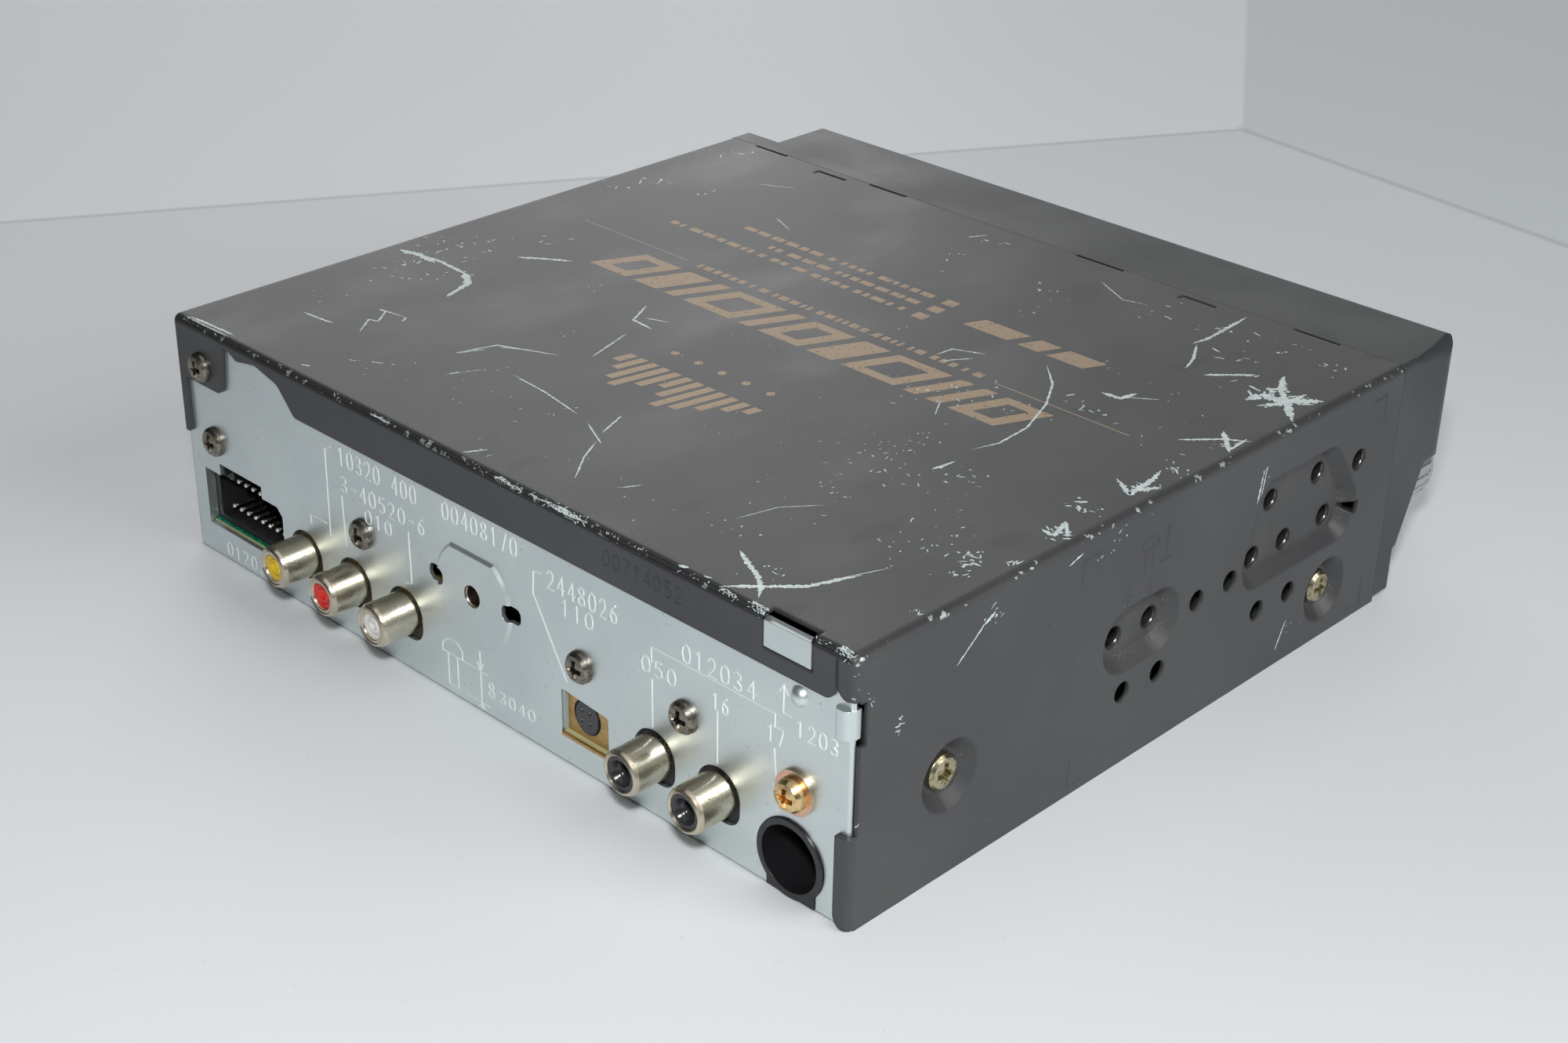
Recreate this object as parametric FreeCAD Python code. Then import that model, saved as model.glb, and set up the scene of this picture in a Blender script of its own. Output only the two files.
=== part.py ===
import FreeCAD, Part
import math
import os
from FreeCAD import Vector

# A car disc player of the standard single height (178 by 50 mm), lying as it is installed.
# -Y is the front with the disc slot, +Y the rear with the sockets, +Z up. Lengths are millimetres.
# While it is built, y = 0 is the cover's front edge; place() moves the origin under the case's middle.

# Case: a folded cover over a tray
case_w = 178.0
case_h = 50.0
case_d = 150.0
steel = 0.8
bend = 1.6
slip = 0.1
side_x = case_w / 2
inner_x = side_x - steel
panel_y = case_d - steel

# Dimples pressed into the cover's sides, and the holes on their grid, as (y, z)
dimple = 2.4
grid = 10.0
grid_y = 31.9
grid_z = 14.8
thread_r = 2.15
plain_r = 2.0
locating_r = 3.2
collar_r = 3.3
outer_collar_r = 2.8
collar_len = 2.4
screw_dimple_r = 6.6
pair_shift = 0.6
upper_z = grid_z + grid
tapped_pair = [(grid_y + k * grid + pair_shift, upper_z) for k in (5, 4)]
tapped_low = [(grid_y + k * grid, upper_z) for k in (1, 0)]
tapped_high = [(grid_y + 5.9, upper_z + 10.2), (grid_y - 9.2, upper_z + 10.4)]
tapped_front = (grid_y - 13.0, upper_z + 0.3)
tapped_at = tapped_pair + tapped_low + tapped_high + [tapped_front]
outer_tapped_at = [(grid_y - 19.2, upper_z + 10.4)]
low_plain_at = [(grid_y + k * grid, grid_z) for k in (0, 1, 4, 5)]
high_plain_at = [(grid_y + k * grid, upper_z) for k in (2, 3)]
side_screw_at = [(19.0, 10.2), (case_d - 23.1, case_h - 31.1)]

# Tray
tray_x = inner_x - dimple
tray_in = tray_x - steel
tray_gap = 0.6
tray_front = 2.0
tray_high = case_h - 8.0
post_r = 2.6
post_at = [(x, y) for x in (-70.0, 0.0, 70.0) for y in (30.0, 100.0)]
vent_size = (34.0, 3.0)
vent_pitch = 9.0
vent_x = 36.0

# Rear: the cover's folded lip, the zinc panel's tab and hook, and its threaded boss
lip_z = case_h - 9.1
flange_w = 3.0
low_flange_z = (0.3, 17.6)
notch_x = (-side_x + 8.6, -side_x + 19.2)
notch_z = case_h - 6.1
notch_in = 2.4
hook_in = 2.4
hook_z = (case_h - 15.0, case_h - 9.8)
hook_x = (-side_x + 0.7, -side_x + 4.0)
hook_gap = 1.3
bump_at = (-side_x + 11.8, case_h - 11.9)
bump_r = 1.9
panel_low = 0.5
panel_high = case_h - steel - 0.3
boss_at = (0.9, 23.6)
boss_r = 10.2
boss_up = 0.6
boss_flat = 0.82
boss_hole_r = 2.15
locator_size = (4.4, 3.2)
nut_r = 4.6
nut_len = 5.0

# Phono jacks
jack_z = 12.0
jack_pitch = 15.0
jack_out = 8.0
jack_in = 3.0
jack_r = 4.15
jack_neck_r = 3.6
jack_seat = 0.3
jack_lip = 0.9
jack_bore_r = 3.1
jack_pin_r = 1.6
jack_pin_bore_r = 0.9
jack_pin_back = 3.4
jack_hole_r = 4.9
jack_arch_r = 3.2
insert_back = 0.6
insert_gap = 0.02
video_jack_x = 51.2
remote_jack_x = -44.7
block_side = 6.4
block_depth = 12.2
block_up = 5.6
lug_half = 4.0
lug_depth = 4.9

# Power connector
power_in = 5.2
power_w = 25.4
power_low = 6.7
power_h = 12.0
power_key_h = 2.5
power_key_in = (6.4, 5.2)
power_chamfer = 1.6
power_set_back = 2.1
power_gap = 0.25
power_wall = 1.2
power_depth = 17.0
pin_pitch = 2.4
pin_count = 8
pin_r = 0.4
pin_first = 5.8
pin_back = 4.0
pin_row_z = (power_low + 3.0, power_low + 9.2)
power_x = (side_x - power_in - power_w, side_x - power_in)
power_z = (power_low, power_low + power_h)

# Small digital socket and the round bus socket
digital_x = (-33.4, -21.5)
digital_z = (5.6, 14.8)
digital_slant = 0.9
digital_plug = (-27.0, 10.9)
digital_plug_r = 2.9
digital_plug_len = 8.8
digital_step = 0.5
contact_ring_r = 1.05
contact_hole_r = 0.38
shield_t = 0.8
shield_over = 0.6
bus_at = (-side_x + 13.0, 7.6)
bus_r = 7.1
bus_wall = 1.1
bus_out = 0.5
bus_depth = 8.6
bus_len = 13.0
bus_gap = 0.3
bus_web = (5.4, 5.1)
bus_key_half = 1.2
bus_hole_r = 0.5

# Screws
screw_r = 3.0
screw_head = 1.8
earth_head = 2.3
shank_r = 1.3
shank_len = 4.0
side_screw_r = 3.4
run_gap = 0.05
power_screw_at = (power_x[0] + 20.6, power_z[1] + 7.2)
triple_screw_at = (video_jack_x - 18.6, jack_z + 11.6)
digital_screw_at = (digital_plug[0] + 0.2, digital_z[1] + 6.5)
double_screw_at = (remote_jack_x - 7.3, jack_z + 11.0)
panel_screw_at = [power_screw_at, triple_screw_at, digital_screw_at, double_screw_at]
lip_screw_at = (side_x - 9.0, case_h - 8.5)
earth_screw_at = (bus_at[0] - 1.0, bus_at[1] + 13.1)
washer_r = 4.0
washer_t = 0.8

# Main board
board_low = 5.3
board_t = 1.6
board_margin = 1.0
board_front = 20.0
board_top = board_low + board_t

# Front frame and nose
frame_t = 5.0
frame_low = 0.7
window_x = (-side_x + 3.0, side_x - 12.5)
window_z = (10.5, case_h - 3.4)
tongue_t = 1.4
tongue_in = 4.0
nose_x = (-side_x + 0.2, side_x - 10.0)
nose_depth = 22.0
nose_top = case_h - 0.2
nose_under = case_h - 26.2
nose_heel = 9.0
nose_wall = 2.0
nose_corner = 6.5
nose_face_round = 4.8
nose_back_round = 1.0
nose_front = -nose_depth
nose_inner = nose_front + nose_wall

# Disc, the slot and the plane in which the disc is loaded
disc_r = 60.0
disc_t = 1.2
load_z = case_h - 7.7
slot_half = disc_r + 2.0
slot_h = 4.6
shelf_t = 1.2
shelf_end = -6.0
felt_t = 1.0
felt_gap = 0.4
disc_low = load_z - disc_t / 2
disc_high = load_z + disc_t / 2
slot_z = (load_z - slot_h / 2, load_z + slot_h / 2)

# Buttons, knob and display
travel = 0.5
cap_gap = 0.2
cap_proud = 0.6
cap_corner = 1.0
flange_t = 0.9
flange_over = 0.8
stem_r = 1.5
button_row_z = case_h - 18.8
button_w = 10.0
button_h = 7.4
button_pitch = 12.4
button_first_x = 7.6
button_names = ["previous", "play", "next", "stop", "menu", "source"]
end_button_w = 9.0
end_button_h = 4.6
eject_at = (71.2, load_z)
power_button_at = (-72.0, load_z)
knob_at = (-side_x + 13.0, 18.8)
knob_r = 9.0
knob_front = 25.6
knob_gap = 0.7
knob_floor = 6.8
knob_lift = 0.6
cup_wall = 1.4
flute_count = 24
flute_r = 0.7
encoder_half = 5.5
encoder_shaft_r = 3.0
spindle_stem_r = 2.0
lens_mid = (-30.5, button_row_z)
lens_w = 49.0
lens_h = 9.6
lens_t = 1.5
front_board_t = 1.6
front_board_low = 11.0
switch_size = 6.0
switch_h = 4.3
switch_tip = 0.8
ribbon_half = 9.0
ribbon_t = 0.4
ribbon_r = 4.0
ribbon_high = 17.0
ribbon_turn = 12.0

# Mechanism deck on its rails and dampers
spindle_y = case_d / 2
deck_z = load_z - 12.3
deck_t = 1.2
deck_top = deck_z + deck_t
deck_x = side_x - 13.0
deck_y = (11.0, case_d - 11.0)
damper_h = 3.0
damper_r = 5.0
damper_at = [(s * (deck_x - 4.0), y) for s in (-1, 1) for y in (36.0, case_d - 22.0)]
rail_t = 1.0
rail_z = deck_z - damper_h - rail_t
rail_x = (68.0, tray_x - 3.0)
rail_y = (14.0, case_d - 14.0)
rail_tabs = [(50.0, 66.0), (92.0, case_d - 16.0)]
rail_web_h = 4.0

# Turntable, clamper and clamp arm
play_drop = 2.8
play_z = disc_low - play_drop
turntable_r = 14.0
turntable_t = 1.9
hub_r = 7.3
hub_up = 2.1
motor_r = 12.5
motor_gap = 0.2
spindle_r = 1.0
spindle_len = 4.0
clamp_clear = 0.5
clamper_low = disc_high + clamp_clear
clamper_r = 12.0
clamper_t = 2.2
clamper_neck_r = 4.0
clamper_play = 0.4
arm_hinge_y = case_d - 13.0
arm_z = case_h - 4.0
arm_t = 0.8
arm_w = 28.0
arm_barrel_r = 1.4
arm_pin_r = 0.7
ear_x = 17.0

# Pickup sled on two rods, moved by a lead screw
rod_gap_y = 21.0
rod_r = 1.5
rod_z = deck_z + 4.0
sled_x = (17.0, 37.0)
sled_travel = 33.0
sled_t = 4.0
lens_x = 25.0
rod_x = (sled_x[0] - 3.0, sled_x[1] + sled_travel + 4.0)
rod_y = (spindle_y - rod_gap_y, spindle_y + rod_gap_y)
screw_line_y = rod_y[0] - 8.0
rod_block_half = 3.0
rod_block_t = 3.0
feed_motor_r = 4.4
feed_motor_x = (rod_x[0] - 13.0, rod_x[0] - 1.0)

# Loading roller with its gears
roller_y = 8.0
roller_r = 3.4
roller_waist = 2.8
roller_gap_half = 8.0
roller_shaft_r = 1.25
cheek_x = disc_r + 3.2
cheek_t = 1.2
cheek_front = 4.0
gear_module = 0.5
gear_w = 2.4
gear_backlash = 0.12
gear_side_gap = 0.3
roller_teeth = 20
idler_teeth = 24
pinion_teeth = 10
idler_angle = -30.0
pinion_angle = -20.0
idler_pin_r = 1.0
pinion_shaft_r = 0.8
load_motor_r = 7.5
load_motor_len = 18.0
guide_gap = 0.4
guide_y = (4.0, 14.0)


# Shapes

def box(x0, x1, y0, y1, z0, z1):
    return Part.makeBox(x1 - x0, y1 - y0, z1 - z0, Vector(x0, y0, z0))


def rod(radius, start, end):
    a, b = Vector(*start), Vector(*end)
    return Part.makeCylinder(radius, (b - a).Length, a, b - a)


def rod_x_line(radius, x0, x1, spot):
    """A cylinder along X through a (y, z) spot."""
    return rod(radius, (x0, *spot), (x1, *spot))


def rod_y_line(radius, y0, y1, spot):
    """A cylinder along Y through an (x, z) spot."""
    return rod(radius, (spot[0], y0, spot[1]), (spot[0], y1, spot[1]))


def rod_z_line(radius, z0, z1, spot):
    """A cylinder along Z through an (x, y) spot."""
    return rod(radius, (*spot, z0), (*spot, z1))


def on_plane(axis, u, v, at):
    """A point given by its two coordinates in a plane square to axis."""
    return {"x": Vector(at, u, v), "y": Vector(u, at, v), "z": Vector(u, v, at)}[axis]


def outline(points, axis, at):
    """Closed wire through (u, v) points; a third number rounds that corner."""
    corners = []
    count = len(points)
    for i, point in enumerate(points):
        here = Vector(point[0], point[1], 0)
        if len(point) < 3:
            corners.append([here])
            continue
        radius = point[2]
        back = (Vector(*points[i - 1][:2], 0) - here).normalize()
        ahead = (Vector(*points[(i + 1) % count][:2], 0) - here).normalize()
        half = back.getAngle(ahead) / 2
        reach = radius / math.tan(half)
        inward = (back + ahead).normalize()
        crest = here + inward * (radius / math.sin(half) - radius)
        corners.append([here + back * reach, crest, here + ahead * reach])
    edges = []
    for i, corner in enumerate(corners):
        spots = [on_plane(axis, p.x, p.y, at) for p in corner]
        if len(spots) == 3:
            edges.append(Part.Arc(*spots).toShape())
        following = corners[(i + 1) % count][0]
        following = on_plane(axis, following.x, following.y, at)
        if (following - spots[-1]).Length > 1e-6:
            edges.append(Part.LineSegment(spots[-1], following).toShape())
    return Part.Wire(edges)


def slab(points, axis, low, high):
    """An outline drawn square to axis and thickened from low to high."""
    along = on_plane(axis, 0, 0, high - low)
    return Part.Face(outline(points, axis, low)).extrude(along)


def rect(spot, width, height, radius=None):
    """Corners of a rectangle about a spot, rounded if a radius is given."""
    a, b = width / 2, height / 2
    u, v = spot
    corners = [(u - a, v - b), (u + a, v - b), (u + a, v + b), (u - a, v + b)]
    return corners if radius is None else [(*corner, radius) for corner in corners]


def join(shapes):
    if len(shapes) == 1:
        return shapes[0]
    return shapes[0].multiFuse(shapes[1:]).removeSplitter()


def cut(shape, tools):
    return shape.cut(Part.makeCompound(tools))


def mirror_x(shape):
    return shape.mirror(Vector(0, 0, 0), Vector(1, 0, 0))


def turned(points, axis, centre):
    """Solid of revolution: (radius, height) points turned about an axis through centre."""
    direction = on_plane(axis, 0, 0, 1)
    side = Vector(1, 0, 0) if axis == "z" else Vector(0, 0, 1)
    spots = [centre + side * r + direction * h for r, h in points]
    wire = Part.makePolygon(spots + [spots[0]])
    return Part.Face(wire).revolve(centre, direction, 360)


def along_y(spot, y):
    return Vector(spot[0], y, spot[1])


# Cover

def dimple_outlines():
    """Each pressed dimple's edge on the cover's side, as (y, z, corner radius) points."""
    low = upper_z - grid / 2
    high = tapped_high[1][1] + 6.0
    rear, ahead = tapped_pair[0][0], tapped_pair[1][0]
    pair = rect(((rear + ahead) / 2 + 0.2, upper_z + 0.4), rear - ahead + 11.2, 12.8, 6.2)
    last, first = tapped_low[0][0], tapped_front[0]
    field = [(first - 5.5, low, 4.5), (last + 4.7, low, 4.5), (last + 6.5, low + 5.6, 3.0),
             (tapped_high[0][0] + 6.4, high, 4.5), (tapped_high[1][0] - 2.1, high, 4.5),
             (first - 7.2, low + 8.8, 4.5)]
    size = 2 * screw_dimple_r
    rounds = [rect(spot, size, size, 0.999 * screw_dimple_r) for spot in side_screw_at]
    return [pair, field] + rounds


def pressed(points, outer_x):
    """A tapered plug of a dimple, from outer_x inwards along +X."""
    edge = outline(points, "x", outer_x)
    floor = edge.makeOffset2D(-dimple)
    floor.translate(Vector(dimple, 0, 0))
    return Part.makeLoft([edge, floor], True, True)


def rear_kept():
    """The cover's parts that fold down over the rear panel, as (x, z, radius) seen from behind."""
    far, top = side_x + 1, case_h + 1
    left, right = side_x - flange_w, -side_x + flange_w + 0.5
    tab_z = case_h - 12.4
    lip = [(far, top), (far, case_h - 24.3), (left, case_h - 24.3, 1.0), (left, tab_z, 0.6),
           (side_x - 15.2, tab_z, 2.0), (side_x - 16.6, case_h - 2.2, 1.0),
           (side_x - 18.4, case_h - 2.2, 0.6), (side_x - 21.0, case_h - 3.5, 1.0),
           (side_x - 27.0, case_h - 2.4, 2.0), (side_x - 33.8, case_h - 4.0, 3.0),
           (side_x - 38.6, lip_z, 1.5), (right - 0.5 + 1.0, lip_z, 2.2), (right - 0.5 + 1.0, case_h - 1.4),
           (right, case_h - 1.4), (right, case_h - 8.0, 2.0), (-far, case_h - 8.0), (-far, top)]
    low, high = low_flange_z
    low_flange = [(-far, high), (-left + 0.2, high, 0.5), (-left + 0.2, low, 2.4), (-far, low)]
    return [lip, low_flange]


def side_holes(radius, x0, x1, spots):
    return [rod_x_line(radius, x0, x1, spot) for spot in spots]


def rounded_block(x0, x1, y0, y1, z0, z1, radius):
    """A block whose two long top edges and rear top and upright edges are rounded."""
    block = box(x0, x1, y0, y1, z0, z1)
    edges = [e for e in block.Edges if e.BoundBox.ZMin > z1 - slip and e.BoundBox.YMax > y1 - slip]
    edges += [e for e in block.Edges if e.BoundBox.YMin > y1 - slip and e.BoundBox.ZLength > case_h / 2]
    return block.makeFillet(radius, edges)


def seam_slots():
    """Short slots where the cover's front edge locks on the front frame."""
    low, high = case_h - 2, case_h + 1
    slots = [box(x0, x1, -1, 0.7, low, high) for x0, x1 in frame_slots()]
    for x0, x1 in [(50.7, 59.2), (-48.0, -39.7)]:
        slots.append(box(x0, x1, 2.0, 2.7, low, high))
        slots.append(box(x1 - 0.7, x1, 2.0, 3.8, low, high))
    return slots


def frame_slots():
    return [(side_x - 18.4, side_x - 8.6), (34.6, 45.4), (-24.0, -12.0), (-side_x + 14.0, -side_x + 24.4)]


def make_cover():
    outer = rounded_block(-side_x, side_x, 0, case_d, 0, case_h, bend)
    inner = rounded_block(-inner_x, inner_x, -1, panel_y, -1, case_h - steel, bend - steel)
    shell = outer.cut(inner)
    rear = box(-side_x - 1, side_x + 1, case_d - bend, case_d + 1, -1, case_h - bend)
    rear = cut(rear, [slab(points, "y", case_d - bend - 1, case_d + 2) for points in rear_kept()])
    notch = box(*notch_x, case_d - notch_in, case_d + 1, notch_z, case_h + 1)
    hook_low, hook_high = hook_z[0] - hook_gap, hook_z[1] + hook_gap
    hook = box(-side_x - 1, hook_x[1], case_d - hook_in - 0.6, case_d + 1, hook_low, hook_high)
    shell = cut(shell, [rear, notch, hook])
    outside, inside = -side_x - 1, -tray_x + 1
    plugs = [pressed(points, -side_x) for points in dimple_outlines()]
    bulges = [pressed(points, -inner_x) for points in dimple_outlines()]
    plugs += side_holes(thread_r, outside, inside, tapped_at + outer_tapped_at)
    plugs += side_holes(plain_r, outside, inside, low_plain_at + high_plain_at)
    plugs += side_holes(shank_r + run_gap, outside, inside, side_screw_at)
    y, z = tapped_front
    slit = [(y - 3.5, z + 0.9, 0.4), (y - 8.1, z + 1.3, 0.4), (y - 7.7, z - 1.9, 0.4)]
    plugs.append(slab(slit, "x", outside, inside))
    shell = join([shell] + bulges + [mirror_x(b) for b in bulges])
    shell = cut(shell, plugs + [mirror_x(p) for p in plugs])
    return cut(shell, seam_slots() + [rod_y_line(shank_r + run_gap, panel_y - 1, case_d + 1, lip_screw_at)])


# Chassis tray and rear panel

def make_tray():
    floor = box(-inner_x + slip, inner_x - slip, tray_gap, panel_y - steel, 0, steel)
    wall = box(-tray_x, -tray_in, tray_front, case_d - hook_in - slip, 0, tray_high)
    threaded = tapped_at + outer_tapped_at
    collars = side_holes(collar_r, -tray_x, -tray_x + collar_len, threaded + side_screw_at)
    collars += side_holes(outer_collar_r, -inner_x, -tray_x, outer_tapped_at)
    outside, inside = -side_x, -tray_x + collar_len + 1
    holes = side_holes(thread_r, outside, inside, threaded)
    holes += side_holes(shank_r + run_gap, outside, inside, side_screw_at)
    holes += side_holes(locating_r, outside, inside, high_plain_at)
    low, high = board_low - 1.8, grid_z + 4.2
    y0, y1 = low_plain_at[1][0] - 5.0, low_plain_at[3][0] + 8.1
    holes.append(slab([(y0, low, 3), (y1, low, 3), (y1, high, 3), (y0, high, 3)], "x", outside, inside))
    wall = cut(join([wall] + collars), holes)
    posts = [rod_z_line(post_r, 0, board_low, spot) for spot in post_at]
    vents = [slab(rect((s * vent_x, spindle_y + k * vent_pitch), *vent_size, 1.4), "z", -1, steel + 1)
             for s in (-1, 1) for k in (-1, 0, 1)]
    tray = join([floor, wall, mirror_x(wall)] + posts)
    return cut(tray, vents + [bus_clearance()])


def boss_plug(y, radius):
    """The low round pad about the rear threaded hole, with one flat at its top."""
    u, v = boss_at
    a = math.asin(boss_flat)

    def ring(r, at):
        left = Vector(u - r * math.cos(a), at, v + boss_flat * r)
        right = Vector(u + r * math.cos(a), at, v + boss_flat * r)
        low = Vector(u, at, v - r)
        return Part.Wire([Part.Arc(left, low, right).toShape(), Part.LineSegment(right, left).toShape()])
    return Part.makeLoft([ring(radius, y), ring(radius - boss_up, y + boss_up)], True, True)


def socket_openings(y0, y1):
    """What the rear panel's openings for the sockets and screws take out."""
    tools = [slab(power_outline(0), "y", y0, y1)]
    for x in jack_xs():
        a = jack_hole_r
        r = jack_arch_r
        arch = [(x - a, jack_z), (x - a, board_top, r), (x + a, board_top, r), (x + a, jack_z)]
        tools.append(slab(arch, "y", y0, y1))
        tools.append(rod_y_line(a, y0, y1, (x, jack_z)))
    (x0, x1), (z0, z1) = digital_x, digital_z
    square = [(x0, z0, 0.6), (x1, z0, 0.6), (x1, z1, 0.6), (x0, z1 - digital_slant, 0.6)]
    tools.append(slab(square, "y", y0, y1))
    x, z = bus_at
    tools.append(rod_y_line(bus_r + slip, y0, y1, bus_at))
    tools.append(box(x - bus_web[0] - slip, x + bus_web[1] + slip, y0, y1, 0, z - bus_r / 2))
    for spot in panel_screw_at + [lip_screw_at, earth_screw_at]:
        tools.append(rod_y_line(shank_r + run_gap, y0, y1, spot))
    return tools


def make_rear_panel():
    half = inner_x - slip
    y0, y1 = panel_y - steel, panel_y
    plate = box(-half, half, y0, y1, panel_low, panel_high)
    edges = [e for e in plate.Edges if e.BoundBox.YMin > y1 - slip and e.BoundBox.ZMax > panel_high - slip]
    plate = plate.makeFillet(steel - slip, edges)
    plate = join([plate, boss_plug(y1, boss_r)]).cut(boss_plug(y0, boss_r - steel / 2))
    tab = box(notch_x[0] + 0.4, notch_x[1] - 0.3, y1, case_d, notch_z + 0.4, panel_high)
    hook = box(*hook_x, case_d - hook_in, case_d + 0.2, *hook_z)
    corner = [e for e in hook.Edges if e.BoundBox.XMax < hook_x[0] + slip and e.BoundBox.YMin > case_d]
    hook = hook.makeFillet(1.8, corner)
    inner = [e for e in hook.Edges if e.BoundBox.XMin > hook_x[1] - slip and e.BoundBox.YMin > case_d]
    hook = hook.makeFillet(0.9, inner)
    flange = box(power_x[1], power_x[1] + steel, y1 - power_set_back, y1, power_z[0] + 0.4, power_z[1] - 0.4)
    bump = Part.makeSphere(bump_r, along_y(bump_at, y1 - 0.6))
    x, z = bump_at
    bump = bump.common(box(x - 3, x + 3, y1 - 0.2, y1 + 2, z - 1.5, z + 2))
    plate = cut(join([plate, tab, hook, bump]), socket_openings(y0 - 1, y1 + 1))
    tools = [rod_y_line(boss_hole_r, y0, y1 + 2, boss_at)]
    for side in (-1, 1):
        spot = (boss_at[0] + side * boss_r, boss_at[1] + 0.4)
        tools.append(slab(rect(spot, *locator_size, 1.2), "y", y0 - 1, y1 + 2))
    return cut(join([plate, flange]), tools)


def make_rear_nut():
    y1 = panel_y - steel + boss_up
    u, v = boss_at
    angles = [math.radians(60 * k) for k in range(6)]
    six = [(u + nut_r * math.cos(a), v + nut_r * math.sin(a)) for a in angles]
    return slab(six, "y", y1 - nut_len, y1).cut(rod_y_line(boss_hole_r, y1 - nut_len - 1, y1 + 1, boss_at))


# Sockets on the rear

def jack_xs():
    """The middles of the three video and audio jacks, then of the two remote jacks."""
    triple = [video_jack_x - k * jack_pitch for k in range(3)]
    double = [remote_jack_x - k * jack_pitch for k in range(2)]
    return triple + double


def make_jack_contacts():
    """Each jack's outer shell with its rolled mouth, and the tube of its middle contact."""
    mouth = panel_y + jack_out
    back, seat = -jack_out - jack_in, jack_seat - jack_out
    pieces = []
    for x in jack_xs():
        shell = [(jack_bore_r, back), (jack_neck_r, back), (jack_neck_r, seat), (jack_r, seat),
                 (jack_r, -jack_lip), (jack_r - 0.3 * jack_lip, -0.3 * jack_lip),
                 (jack_r - 0.8 * jack_lip, 0), (jack_bore_r, -0.35)]
        pieces.append(turned(shell, "y", Vector(x, mouth, jack_z)))
        tube = rod_y_line(jack_pin_r - insert_gap, panel_y - jack_in - 1, mouth - jack_pin_back, (x, jack_z))
        pieces.append(tube.cut(rod_y_line(jack_pin_bore_r, panel_y - jack_in - 2, mouth, (x, jack_z))))
    return Part.makeCompound(pieces)


def jack_insert(x, dish):
    """The coloured or black insulator in a jack, dished round the contact's hole."""
    mouth = panel_y + jack_out - insert_back
    depth = jack_out + jack_in - insert_back - 0.4
    r = jack_bore_r - insert_gap
    points = [(jack_pin_r, -depth), (r, -depth), (r, 0), (r - 0.5, 0), (jack_pin_r + 0.1, -dish),
              (jack_pin_r, -dish)]
    return turned(points, "y", Vector(x, mouth, jack_z))


def jack_block(xs, screw):
    """The moulded body behind a row of jacks, standing on the board, with its screw lug."""
    y1 = panel_y - steel - slip
    x0, x1 = min(xs) - block_side, max(xs) + block_side
    body = box(x0, x1, y1 - block_depth + slip, y1, board_top, jack_z + block_up)
    x, z = screw
    lug = box(x - lug_half, x + lug_half, y1 - lug_depth, y1, jack_z + block_up - 1, z + lug_half)
    tools = [rod_y_line(jack_neck_r + insert_gap, panel_y - jack_in - 4, y1 + 1, (x, jack_z)) for x in xs]
    tools.append(rod_y_line(shank_r + run_gap, y1 - lug_depth - 1, y1 + 1, screw))
    return cut(join([body, lug]), tools)


def power_outline(inset):
    """The power connector's outline with its raised key, as seen from behind."""
    x0, x1 = power_x[0] + inset, power_x[1] - inset
    z0, z1 = power_z[0] + inset, power_z[1] - inset
    k0, k1 = x0 + power_key_in[0], x1 - power_key_in[1]
    key = z1 + power_key_h
    return [(x0, z0), (x1, z0), (x1, z1), (k1, z1), (k1, key), (k0, key), (k0, z1),
            (x0 + power_chamfer, z1), (x0, z1 - power_chamfer)]


def pin_spots():
    return [(power_x[0] + pin_first + k * pin_pitch, z) for z in pin_row_z for k in range(pin_count)]


def make_power_header():
    face = panel_y - power_set_back
    back = face - power_depth
    cavity = slab(power_outline(power_gap + power_wall), "y", back + 2, face + 1)
    body = slab(power_outline(power_gap), "y", back, face).cut(cavity)
    x, z = power_screw_at
    x0, x1 = x - lug_half, x + lug_half
    y1 = panel_y - steel - slip
    roof = power_z[1] - 0.6
    lug = box(x0, x1, y1 - lug_depth, y1, roof, z + lug_half)
    lug = lug.cut(slab(power_outline(power_gap + 0.05), "y", back, panel_y))
    bridge = box(x0, x1, face - 8, face - 2, roof, z - 2).cut(cavity)
    tools = [rod_y_line(shank_r + run_gap, back, panel_y, power_screw_at)]
    tools += [rod_y_line(pin_r + insert_gap, back - 1, back + 3, spot) for spot in pin_spots()]
    return cut(join([body, bridge, lug]), tools)


def make_power_pins():
    tip = panel_y - pin_back
    length = tip - (panel_y - power_set_back - power_depth - 1)
    points = [(0, -length), (pin_r, -length), (pin_r, -1.5 * pin_r), (0.5 * pin_r, 0), (0, 0)]
    return Part.makeCompound([turned(points, "y", along_y(spot, tip)) for spot in pin_spots()])


def make_digital_shield():
    y1 = panel_y - steel - 0.2
    y0 = y1 - shield_t
    (x0, x1), (z0, z1) = digital_x, digital_z
    over = shield_over
    plate = box(x0 - over, x1 + over, y0, y1, z0 - over, z1 + over)
    lip = box(x0 + 0.2, x1 - 0.2, y1 - 0.2, panel_y + 0.3, z0 + 0.1, z0 + 0.7)
    can = box(x0 + 1, x1 - 1, y0 - 11, y1 - 0.4, board_top, z1 - over)
    x, z = digital_screw_at
    lug = box(x - lug_half, x + lug_half, y0, y1, z1, z + lug_half)
    hollow = rod_y_line(digital_plug_r + digital_step, y0 - 8, y1 + 2, digital_plug)
    screw_hole = rod_y_line(shank_r + run_gap, y0 - 1, y1 + 1, digital_screw_at)
    return cut(join([plate, lip, can, lug]), [hollow, screw_hole])


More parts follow.
